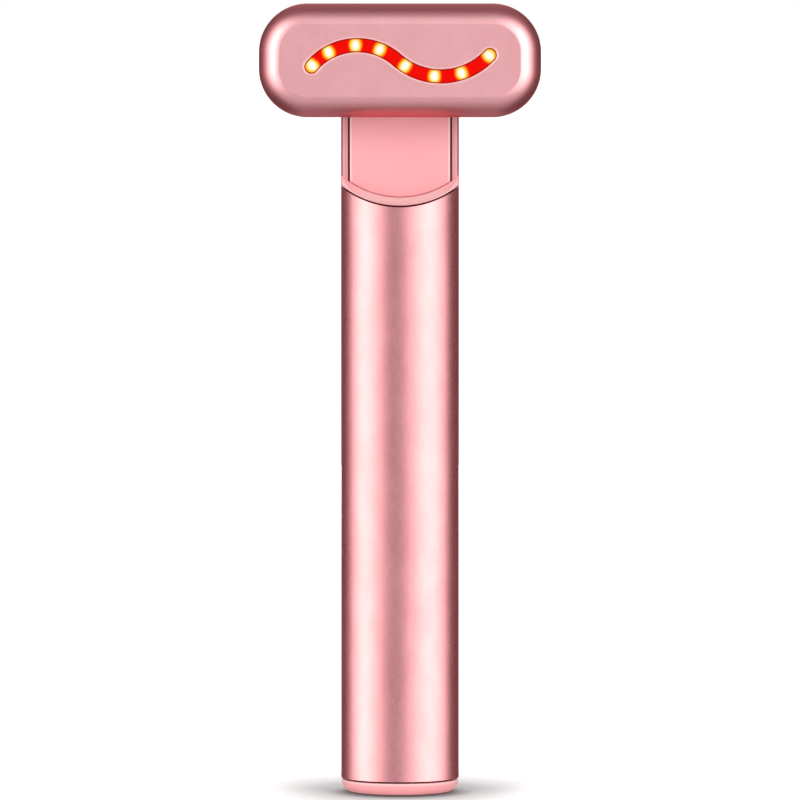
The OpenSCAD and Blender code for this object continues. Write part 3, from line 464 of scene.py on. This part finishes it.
panel_plastic = soft_plastic("panel_plastic", blush, blush_warm, 0.5)
tree = panel_plastic.node_tree
x, y, z = axes_of(tree)
# Painted highlight: a pale line along the panel's long edges, where its rounded edge would catch the
# light
at_edge = x.math("ABSOLUTE").rise(panel_half - 0.45 * mm, panel_half - 0.3 * mm)
recolour(tree, at_edge, painted_edge_highlight)
lay_over(tree, y.rise(neck_face_y + 0.14 * mm, neck_face_y + 0.3 * mm), gap_shade)

neck_plastic = soft_plastic("neck_plastic", blush, blush_warm, 0.5)
tree = neck_plastic.node_tree
x, y, z = axes_of(tree)
drop = z - collar_z
ring = (x * x + drop * drop).math("SQRT")
below_axis = z.rise(collar_z, collar_z - 1 * mm)
side = x.math("ABSOLUTE")
in_front = y.rise(neck_face_y - 0.05 * mm, neck_face_y - 0.3 * mm)
in_front_half = y.rise(2 * mm, -1 * mm)
on_collar = ring.rise(collar_inner - 0.1 * mm, collar_inner) * below_axis * in_front
# Painted light: the collar band is paler than the plastic, and palest in the middle, standing in for
# light from above on a slope
recolour(tree, on_collar, collar_ends_painted_light)
recolour(tree, on_collar * side.rise(*collar_light_fade), collar_middle_painted_light)
beside = (1 - below_axis).larger(ring.rise(collar_inner, collar_inner - 0.2 * mm))
on_strip = side.rise(slit_half - 0.02 * mm, slit_half + 0.02 * mm) * beside
# Painted shade: the strips beside the slits turn away from the light, so they are darker
recolour(tree, on_strip, strip_painted_shade)
# Painted highlight: a pale line along each strip, where a rounded edge would catch the light
on_strip_highlight = side.rise(*strip_highlight_start) * side.rise(*strip_highlight_end) * on_strip
recolour(tree, on_strip_highlight, strip_painted_highlight)
# Painted shade: a dark matt line along each strip's outer edge, where it turns away from the light
lay_over(tree, side.rise(*strip_dark_edge_start) * on_strip * in_front_half, strip_edge_painted_shade)
lay_over(tree, ring.rise(collar_outer - seam_depth, collar_outer) * below_axis, seam_shade)
in_slit = side.rise(panel_half - 0.1 * mm, panel_half)
in_slit = in_slit * side.rise(slit_half + 0.12 * mm, slit_half + 0.04 * mm)
in_slit = in_slit * y.rise(neck_face_y + 0.06 * mm, neck_face_y + 0.3 * mm).larger(on_strip)
lay_over(tree, in_slit, gap_shade)

cap_plastic = soft_plastic("cap_plastic", blush, blush_warm, 0.38)
tree = cap_plastic.node_tree
x, y, z = axes_of(tree)
# Painted highlight: a pale band at the top of the cap, just below the seam
at_edge = z.rise(cap_top - 0.6 * mm, cap_top - 0.1 * mm)
recolour(tree, at_edge, painted_edge_highlight)
lay_over(tree, z.rise(cap_top + 0.01 * mm, cap_top + 0.06 * mm), gap_shade)
print("slit", round((slit_half - panel_half) / mm, 2), "mm, cap's top at z", round(cap_top / mm, 2))

# %% [markdown]
# ## Painted shade at the head's edge
# Where the head's sides curve away its colour deepens more than the room alone explains. Here the
# depth inside the head's outline, a rectangle with round corners, paints that shade into the colour,
# from the pale face to a deeper rim.

# %% Head edge
shell_low, shell_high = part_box("head_front_shell")
head_corner = 9.4 * mm
head_half = shell_high[0]
head_half_z = (shell_high[2] - shell_low[2]) / 2
head_z = (shell_high[2] + shell_low[2]) / 2
# The painted shade starts this far inside the outline and is full at the smaller depth
rim_shade_start, rim_shade_full = 3.3 * mm, 0.9 * mm
painted_rim_shade = (0.61, 0.24, 0.262, 1)

tree = head_metal.node_tree
x, y, z = axes_of(tree)
over_x = x.math("ABSOLUTE") - (head_half - head_corner)
over_z = (z - head_z).math("ABSOLUTE") - (head_half_z - head_corner)
past_x, past_z = over_x.larger(0.0), over_z.larger(0.0)
outside = (past_x * past_x + past_z * past_z).math("SQRT")
inside = head_corner - outside - over_x.larger(over_z).math("MINIMUM", 0.0)
recolour(tree, inside.rise(rim_shade_start, rim_shade_full), painted_rim_shade)
print("head edge, corner", round(head_corner / mm, 1), "mm, middle at z", round(head_z / mm, 1))

# %% [markdown]
# ## Plain metals, plastics and rubbers of the inner pieces
# Most inner pieces are never seen, yet each has the finish that it has on a workbench: turned brass,
# bright screws, a natural white carrier, dark foam. One function for metals and one for rubbers,
# beside the plastic above, cover them all.

# %% Inner finishes
def bench_metal(name, colour, gloss, line=0.12 * mm):
    """Turned or drawn metal with fine lines round its surface."""
    material, tree, shader = start_finish(name, Metallic=1.0)
    lines = clouds(tree, line, 0.2, 2.0)
    darker = tuple(0.85 * c for c in colour[:3]) + (1,)
    join(tree, shader.inputs["Base Color"], blend_colours(tree, lines, darker, colour))
    join(tree, shader.inputs["Roughness"], gloss + (lines - 0.5) * 0.15)
    bump(tree, shader, lines, 0.002 * mm)
    return material


def soft_rubber(name, colour, gloss=0.65):
    """Rubber, foam or cable jacket: matt, with a pebbled skin."""
    material, tree, shader = start_finish(name, IOR=1.5)
    pebble = clouds(tree, 0.3 * mm, 1.0, 2.0)
    paler = tuple(min(1.0, 1.25 * c + 0.01) for c in colour[:3]) + (1,)
    join(tree, shader.inputs["Base Color"], blend_colours(tree, pebble, colour, paler))
    join(tree, shader.inputs["Roughness"], gloss + (pebble - 0.5) * 0.2)
    bump(tree, shader, pebble, 0.01 * mm)
    return material


def near(colour, share=1.08):
    """A slightly lighter neighbour of a colour."""
    return tuple(min(1.0, share * c) for c in colour[:3]) + (1,)


natural = (0.86, 0.84, 0.79, 1)
carrier = (0.78, 0.74, 0.66, 1)
chip = (0.015, 0.015, 0.018, 1)
ceramic = (0.52, 0.42, 0.24, 1)
solder_mask = (0.02, 0.17, 0.06, 1)
finishes = {
    "button_plastic": button_plastic,
    "steel": bench_metal("bright_steel", (0.62, 0.62, 0.63, 1), 0.28),
    "spring_steel": bench_metal("spring_steel", (0.42, 0.42, 0.44, 1), 0.32),
    "bush_brass": bench_metal("turned_brass", (0.75, 0.52, 0.20, 1), 0.25),
    "motor_weight": bench_metal("heavy_metal", (0.22, 0.21, 0.21, 1), 0.4),
    "cell_wrap": soft_plastic("cell_wrap", (0.06, 0.16, 0.45, 1), (0.08, 0.2, 0.5, 1), 0.3),
    "slip_plastic": soft_plastic("slip_plastic", natural, near(natural), 0.5),
    "carrier_plastic": soft_plastic("carrier_plastic", carrier, near(carrier), 0.55),
    "board_green": soft_plastic("solder_mask", solder_mask, near(solder_mask, 1.4), 0.35),
    "board_white": soft_plastic("white_board", natural, near(natural), 0.4),
    "chip_black": soft_plastic("chip_black", chip, near(chip, 1.6), 0.45),
    "chip_parts": soft_plastic("ceramic_parts", ceramic, near(ceramic, 1.2), 0.4),
    "connector_white": soft_plastic("connector_white", natural, near(natural), 0.45),
    "foam": soft_rubber("closed_foam", (0.05, 0.05, 0.052, 1), 0.9),
    "wire_insulation": soft_rubber("wire_insulation", (0.30, 0.02, 0.02, 1), 0.45),
    "cable_jacket": soft_rubber("cable_jacket", (0.25, 0.25, 0.27, 1), 0.55),
    "seal_rubber": soft_rubber("seal_rubber", (0.025, 0.025, 0.027, 1)),
    "rose_metal": tube_metal,
    "blush_plastic": blush_plastic,
}
print(len(finishes), "finishes")

# %% [markdown]
# ## Clear pieces
# The status light's guide is a milky rod, and the lamps are small clear packages that glow. Clear
# plastic could be true glass, but at the end of a dark tunnel it only shows a soft pale disc.

# %% Clear pieces
milky, tree, shader = start_finish("milky_guide", IOR=1.49, Transmission_Weight=0.35)
haze = clouds(tree, 0.6 * mm)
milk, pale_milk = (0.9, 0.86, 0.84, 1), (0.98, 0.96, 0.95, 1)
join(tree, shader.inputs["Base Color"], blend_colours(tree, haze, milk, pale_milk))
join(tree, shader.inputs["Roughness"], 0.2 + haze * 0.15)
finishes["clear_guide"] = milky

lamp_glow, tree, shader = start_finish("lamp_glow", Emission_Strength=2.0)
spark = clouds(tree, 0.4 * mm)
phosphor, pale_phosphor = (0.9, 0.6, 0.3, 1), (1, 0.75, 0.4, 1)
ember, flame = (1, 0.35, 0.08, 1), (1, 0.6, 0.2, 1)
join(tree, shader.inputs["Base Color"], blend_colours(tree, spark, phosphor, pale_phosphor))
join(tree, shader.inputs["Emission Color"], blend_colours(tree, spark, ember, flame))
finishes["lamp_clear"] = lamp_glow

# %% [markdown]
# ## Giving every frame piece its finish
# The record says which finish slot each piece takes. A frame piece keeps its mesh, so only its
# material slots are filled.

# %% Dress the frame
slot_of = {row["node"]: row["material_slot"] for row in record["subparts"]}
body_of = {name: body for body, names in record["behaviour"]["bodies"].items() for name in names}
own_finish = {"head_front_shell": head_metal, "head_back_shell": head_metal,
              "neck_panel": panel_plastic, "neck_frame": neck_plastic, "base_cap": cap_plastic}


def finish_of(name):
    """The material of a frame piece: its own, or its slot's."""
    return own_finish.get(name) or finishes[slot_of[name]]


def dress(piece, material):
    """Gives a piece one material all over."""
    piece.data.materials.clear()
    piece.data.materials.append(material)


for name, piece in nodes.items():
    if slot_of[name] != "red_lens":
        for slot in piece.material_slots:
            slot.material = finish_of(name)
print(len(nodes), "frame pieces dressed")

# %% [markdown]
# ## The window
# The window is a wavy band, a crest and a trough that meet with one tangent, with round ends. The
# lens could be a plain red strip, but its look comes from the lamps behind it: eight white hot spots
# that fade through yellow and orange into deep red. So the lens is a ribbon carried along the wave,
# and each of its points knows how far it is from the nearest lamp. The ribbon is a stack of rings of
# points, and add_rings lays a skin over them, here and for the button later.

# %% The wave
lens_low, lens_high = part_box("window_lens")
pivot = np.array([0.0, head_z])
wave_slope = radians(41)
crest_radius, trough_radius = 11.6 * mm, 12.9 * mm
crest_sweep, trough_sweep = radians(91), radians(88)
wave_middle = pivot + np.array([-0.6, 0.1]) * mm
wave_normal = np.array([sin(wave_slope), cos(wave_slope)])
crest_centre = wave_middle - crest_radius * wave_normal
trough_centre = wave_middle + trough_radius * wave_normal
crest_length = crest_radius * crest_sweep
wave_length = crest_length + trough_radius * trough_sweep


def wave_point(way):
    """Points (x, z) and headings of the wave at lengths from its left end: two arcs of a circle.

    On the crest the angle falls from its start to the slope's normal; on the trough it rises from
    the opposite angle. The heading is the arc's tangent.
    """
    way = np.asarray(way, dtype=float)
    on_crest = way < crest_length
    crest_angle = pi / 2 - wave_slope + crest_sweep * (1 - way / crest_length)
    trough_angle = 3 * pi / 2 - wave_slope + (way - crest_length) / trough_radius
    angle = np.where(on_crest, crest_angle, trough_angle)
    radius = np.where(on_crest, crest_radius, trough_radius)
    centre = np.where(on_crest[..., None], crest_centre, trough_centre)
    ray = np.stack([np.cos(angle), np.sin(angle)], axis=-1)
    turn = np.where(on_crest, angle - pi / 2, angle + pi / 2)
    return centre + radius[..., None] * ray, turn


def ribbon(profile, steps=220, round_steps=24):
    """A closed band along the wave.

    The outline runs down one side of the wave, round its right end, back up the other side and
    round the left end. Every outline point has a base on the wave and a unit arm that points
    outwards. A profile row (reach, y) puts its ring at base + reach * arm, at the depth y.
    """
    ways = np.linspace(0, wave_length, steps)
    base, turn = wave_point(ways)
    half_turn = np.linspace(0, pi, round_steps + 1)[1:-1]
    bases = np.concatenate([base, np.repeat(base[-1:], len(half_turn), 0),
                            base[::-1], np.repeat(base[:1], len(half_turn), 0)])
    arms = np.concatenate([turn + pi / 2, turn[-1] + pi / 2 - half_turn,
                           turn[::-1] - pi / 2, turn[0] - pi / 2 - half_turn])
    arm = np.stack([np.cos(arms), np.sin(arms)], axis=-1)
    reach, depth = np.array(profile).T
    flat = bases[None] + reach[:, None, None] * arm[None]
    depth = np.broadcast_to(depth[:, None], flat.shape[:2])
    return np.stack([flat[..., 0], depth, flat[..., 1]], axis=-1)


def add_rings(name, rings):
    """A smooth skin over rings of points, from one ring to the next, sharp where it turns a corner."""
    count, points = rings.shape[:2]
    ring, point = np.meshgrid(np.arange(count - 1), np.arange(points), indexing="ij")
    here = ring * points + point
    beside = ring * points + (point + 1) % points
    faces = np.stack([here, beside, beside + points, here + points], axis=-1).reshape(-1, 4)
    piece = add_mesh(name, rings, faces)
    piece.data.set_sharp_from_angle(angle=radians(50))
    print(name, len(piece.data.polygons), "faces")
    return piece


# Places of the lamps along the wave, measured from its left end and from its right end
lamps_from_left = np.array([0.3, 4.35, 9.75, 14.55]) * mm
lamps_from_right = np.array([17.85, 11.8, 6.5, 0.2]) * mm
lamp_ways = np.concatenate([lamps_from_left, wave_length - lamps_from_right])
lamp_places, _ = wave_point(lamp_ways)
print("wave", round(wave_length / mm, 1), "mm,", len(lamp_places), "lamps")

# %% [markdown]
# ## The lens
# The moulded lens has a slightly crowned front that sits a little below the head's face, and a
# flange behind the shell. Its glow could come from true lamps behind clear plastic, which renders
# slowly and with sparkles. Each lamp's glow is a few steps of colour over the distance instead. The
# hot spots are a little longer across the band than along it, as they are in the photograph.

# %% Lens
lens_half = 1.34 * mm
lens_front, lens_back = lens_low[1], lens_high[1]
lens_crown, lens_round = 0.12 * mm, 0.12 * mm
flange_half = 2.3 * mm
flange_front = shell_low[1] + 1.12 * mm
shoulder = lens_front + lens_crown
crowned = [(r * (lens_half - lens_round), lens_front + lens_crown * r * r)
           for r in np.linspace(0, 1, 13)]
rounded = [(lens_half - lens_round * (1 - sin(a)), shoulder + lens_round * (1 - cos(a)))
           for a in np.linspace(0, pi / 2, 5)[1:]]
lens_profile = crowned + rounded + [(lens_half, flange_front), (flange_half, flange_front),
                                    (flange_half, lens_back), (0, lens_back)]
lens = add_rings("wave_lens", ribbon(lens_profile))
places = np.empty(len(lens.data.vertices) * 3)
lens.data.vertices.foreach_get("co", places)
flat = places.reshape(-1, 3)[:, [0, 2]]
centre_line, _ = wave_point(np.linspace(0, wave_length, 400))


def nearest(points, targets):
    """For every point its distance to the nearest target."""
    return np.sqrt(((points[:, None] - targets[None]) ** 2).sum(-1)).min(1)


# A step across the band counts for less than a step along it, so the hot spots become oval
across_saving = 0.45
to_lamp = nearest(flat, lamp_places)
from_middle = nearest(flat, centre_line)
oval = np.sqrt(np.maximum(to_lamp ** 2 - across_saving * from_middle ** 2, 0))
for label, distance in (("to_lamp", oval), ("to_rim", lens_half - from_middle)):
    attribute = lens.data.attributes.new(label, "FLOAT", "POINT")
    attribute.data.foreach_set("value", distance / mm)
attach(lens, "head")
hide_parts("window_lens")

red_glass, tree, shader = start_finish(
    "red_lens", IOR=1.49, Emission_Strength=1.0, Specular_IOR_Level=0.05)
away = add_node(tree, "ShaderNodeAttribute", {"attribute_name": "to_lamp"}, {}, "Fac")
from_rim = add_node(tree, "ShaderNodeAttribute", {"attribute_name": "to_rim"}, {}, "Fac")
swirl = clouds(tree, 1.0 * mm)
away = away + (swirl - 0.5) * 0.35
deep_red, bright_red, rim_shade_red = (0.76, 0, 0, 1), (0.9, 0.001, 0, 1), (0.3, 0.002, 0.001, 1)
orange, yellow, hot = (1, 0.14, 0, 1), (1, 0.72, 0.04, 1), (1, 1, 0.92, 1)
glow = blend_colours(tree, swirl, deep_red, bright_red)
# Each colour covers what lies under it from the first distance, in millimetres, to the second
# The last colour is painted shade along the lens's rim, where the shell's wall keeps the lamps' light
# off
for distance, start, full, colour in ((away, 1.55, 1.2, orange), (away, 1.3, 0.85, yellow),
                                      (away, 0.95, 0.4, hot), (from_rim, 0.36, 0.05, rim_shade_red)):
    glow = blend_colours(tree, distance.rise(start, full), glow, colour)
unlit, unlit_pale = (0.05, 0.001, 0, 1), (0.08, 0.002, 0, 1)
join(tree, shader.inputs["Emission Color"], glow)
join(tree, shader.inputs["Base Color"], blend_colours(tree, swirl, unlit, unlit_pale))
join(tree, shader.inputs["Roughness"], 0.12 + swirl * 0.06)
dress(lens, red_glass)

# %% [markdown]
# ## The cut rim round the window
# After dyeing, the window's edge is cut with a diamond tool, which leaves a narrow bright line round
# the red. The head's own mesh has a plain chamfer there. A narrow bead on that chamfer, with a
# rounded front, catches light from more sides, as the cut edge does.

# %% Window rim
rim_inner, rim_outer = 1.36 * mm, 1.72 * mm
rim_front, rim_back = shell_low[1] - 0.015 * mm, shell_low[1] + 0.5 * mm
rim_turn, rim_droop = 0.16 * mm, 0.04 * mm
quarter = np.linspace(0, pi / 2, 6)
inner_round = [(rim_inner + rim_turn * (1 - cos(a)), rim_front + rim_turn * (1 - sin(a)))
               for a in quarter]
outer_round = [(rim_outer - rim_turn * (1 - sin(a)), rim_front + rim_droop * (1 - cos(a)))
               for a in quarter]
rim_profile = [(rim_inner, rim_back), *inner_round, *outer_round,
               (rim_outer, rim_back), (rim_inner, rim_back)]
rim = add_rings("window_rim", ribbon(rim_profile))
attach(rim, "head")

cut_metal, tree, shader = start_finish("cut_metal", Metallic=0.6)
tool_marks = clouds(tree, 0.3 * mm)
cut_rose, cut_pale = (0.92, 0.50, 0.52, 1), (0.98, 0.62, 0.62, 1)
join(tree, shader.inputs["Base Color"], blend_colours(tree, tool_marks, cut_rose, cut_pale))
join(tree, shader.inputs["Roughness"], 0.25 + tool_marks * 0.1)
dress(rim, cut_metal)

# %% [markdown]
# ## Edges that catch the light
# No real edge is perfectly sharp. The tube's cut edge is broken by a fine chamfer and shows as a
# pale line in the photograph, and moulded edges are rounder still. The frame's meshes must stay as
# they are, so each of these pieces is copied, its triangles are merged into one skin, and a Bevel
# rounds whatever is sharper than thirty degrees.

# %% Softened copies
tube_drop, cut_drop = 0.2 * mm, 0.1 * mm
cut_gap = 0.2 * mm
close = 0.01 * mm


def settle_tube(x, y, z):
    """Lets the tube's lower end down by tube_drop and its front cut by cut_drop."""
    at_end = z < tube_low + close
    at_cut = np.abs(np.hypot(x, z - collar_z) - collar_outer - cut_gap) < 3 * close
    at_cut &= (z < collar_z) & (y < 0)
    return x, y, z - tube_drop * at_end - cut_drop * at_cut


def settle_cap(x, y, z):
    """Lets the cap's shoulder down by shoulder_drop, which leaves a wider seam under the tube."""
    on_shoulder = np.abs(z - (tube_low - cap_seam)) < close
    return x, y, z - shoulder_drop * on_shoulder


edge_width = 4.0 * mm
edge_stretch = 1.15
edge_power = 0.625


def inside_outline(x, z):
    """How far a point of the head lies inside its outline, a rectangle with round corners."""
    over_x = np.abs(x) - (head_half - head_corner)
    over_z = np.abs(z - head_z) - (head_half_z - head_corner)
    outside = np.hypot(np.maximum(over_x, 0), np.maximum(over_z, 0))
    return head_corner - outside - np.minimum(np.maximum(over_x, over_z), 0)


def fuller_edge(x, y, z):
    """Turns the round edge of the light face into a fuller curve.

    With s as the share of the way in from the outline, over a stretched width, the depth grows as
    (1 - (1 - s)^2)^edge_power. That is steep at the rim and nearly flat beside the face, where the
    plain arc still has a slant. The curve is scaled to meet the face where the arc does.
    """
    depth = shell_high[1] - y
    full = shell_high[1] - shell_low[1]
    arc_radius = (edge_width ** 2 + full ** 2) / (2 * edge_width)
    inside = np.clip(inside_outline(x, z), 0, edge_width)
    arc = np.sqrt(np.maximum(arc_radius ** 2 - (arc_radius - inside) ** 2, 0))
    fuller = (1 - (1 - inside / (edge_stretch * edge_width)) ** 2) ** edge_power
    fuller *= full / (1 - (1 - 1 / edge_stretch) ** 2) ** edge_power
    on_edge = (np.abs(depth - arc) < 3 * close) & (inside < edge_width - close)
    return x, np.where(on_edge, shell_high[1] - fuller, y), z


sharp_turn, crease_turn = radians(30), radians(6)


def softened(name, width, reshape=None, crease=0.0, keep=None):
    """A copy of a frame piece as one skin, its sharp edges rounded by width.

    reshape may move its points. crease is the width for the faint crease round the light face.
    keep tells of a point whether the edges there stay sharp.
    """
    mesh = nodes[name].data.copy()
    piece = bpy.data.objects.new("soft_" + name, mesh)
    bpy.context.scene.collection.objects.link(piece)
    skin = bmesh.new()
    skin.from_mesh(mesh)
    bmesh.ops.remove_doubles(skin, verts=skin.verts, dist=1e-6)
    skin.to_mesh(mesh)
    if reshape:
        places = np.empty(len(mesh.vertices) * 3)
        mesh.vertices.foreach_get("co", places)
        moved = np.stack(reshape(*places.reshape(-1, 3).T), axis=-1)
        mesh.vertices.foreach_set("co", moved.ravel())
    for layer in ("custom_normal", "sharp_edge", "sharp_face"):
        if layer in mesh.attributes:
            mesh.attributes.remove(mesh.attributes[layer])
    skin.clear()
    skin.from_mesh(mesh)
    weight = skin.edges.layers.float.new("bevel_weight_edge")
    widest = max(width, crease)
    for line in skin.edges:
        turn = line.calc_face_angle(0.0)
        ends = [corner.co for corner in line.verts]
        on_face = crease and all(abs(end.y - shell_low[1]) < close for end in ends)
        if keep and all(keep(end) for end in ends):
            line.smooth = turn < sharp_turn
        elif turn > sharp_turn:
            line[weight] = width / widest
        elif on_face and turn > crease_turn:
            line[weight] = crease / widest
    skin.to_mesh(mesh)
    skin.free()
    mesh.polygons.foreach_set("use_smooth", np.full(len(mesh.polygons), True))
    edge = piece.modifiers.new("broken_edges", "BEVEL")
    edge.width = widest
    edge.segments = 3
    edge.limit_method = "WEIGHT"
    edge.harden_normals = True
    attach(piece, body_of[name])
    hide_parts(name)
    dress(piece, finish_of(name))
    print(piece.name, len(mesh.polygons), "faces before the bevel")


tube_back = 8 * mm
holes_low, holes_high = 81 * mm, 105 * mm


def at_holes(point):
    """Whether a point lies round the holes in the tube's back, which the button and the guide fill."""
    return point.y > tube_back and holes_low < point.z < holes_high


softened("handle_tube", 0.15 * mm, settle_tube, keep=at_holes)
softened("base_cap", 0.15 * mm, settle_cap)
softened("head_front_shell", 0.1 * mm, fuller_edge, 0.7 * mm)
softened("neck_frame", 0.12 * mm)
softened("neck_panel", 0.2 * mm)

# %% [markdown]
# ## The mode button
# The photograph shows the front only. On the back such wands have one round button in a polished
# metal ring. A flat disc would read as a sticker, so the button gets a shallow dish for the thumb
# and a rolled edge, and the ring a rounded crown. Both follow the round of the tube: every ring of
# points lies on a cylinder about the handle's axis and rises or sinks from there.

# %% Button and ring
button_low, button_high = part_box("mode_button")
bezel_low, bezel_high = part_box("button_bezel")
button_middle = (bezel_low[2] + bezel_high[2]) / 2
button_half = 4.0 * mm
button_play = 0.1 * mm
tube_radius = 11.5 * mm
around = np.linspace(0, 2 * pi, 97)[:-1]


def on_handle(rows, face):
    """Rings of points round the button's axis, one for each row (radius, height, curved).

    A curved row lies on the cylinder of radius face about the handle's axis, raised by height:
    y = sqrt(face^2 - x^2) + height. A flat row lies at y = height.
    """
    radius, height, curved = (column[:, None] for column in np.array(rows, dtype=float).T)
    x = radius * np.cos(around)
    z = button_middle + radius * np.sin(around)
    y = np.where(curved > 0, np.sqrt(face ** 2 - x ** 2) + height, height)
    return np.stack([x, y, z], axis=-1)


rolled = 0.4 * mm
rim_radius = button_half - rolled
dish_radius, dish_depth = 3.1 * mm, 0.7 * mm
dish = [(r, -dish_depth * (1 - (r / dish_radius) ** 2), 1) for r in np.linspace(0, dish_radius, 14)]
dish.append((rim_radius, 0, 1))
roll = [(rim_radius + rolled * sin(a), rolled * (cos(a) - 1), 1) for a in np.linspace(0, pi / 2, 8)[1:]]
button_foot, flange_top = button_low[1], button_low[1] + 0.9 * mm
flange_half = button_high[0]
lower = [(button_half, flange_top, 0), (flange_half, flange_top, 0),
         (flange_half, button_foot, 0), (0, button_foot, 0)]
button = add_rings("dished_button", on_handle(dish + roll + lower, button_high[1]))
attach(button, "button")
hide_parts("mode_button")
dress(button, finish_of("mode_button"))

hole_half, ring_half = button_half + button_play, bezel_high[0]
crown = 0.22 * mm
crown_rows = [(hole_half + (ring_half - hole_half) * (1 - cos(a)) / 2, crown * sin(a), 1)
              for a in np.linspace(0, pi, 13)]
ring_rows = crown_rows + [(ring_half, bezel_low[1], 0), (hole_half, bezel_low[1], 0), crown_rows[0]]
bezel = add_rings("crowned_ring", on_handle(ring_rows, tube_radius))
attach(bezel, "handle")
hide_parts("button_bezel")
dress(bezel, bench_metal("polished_rose", (0.96, 0.62, 0.60, 1), 0.16, 0.3 * mm))
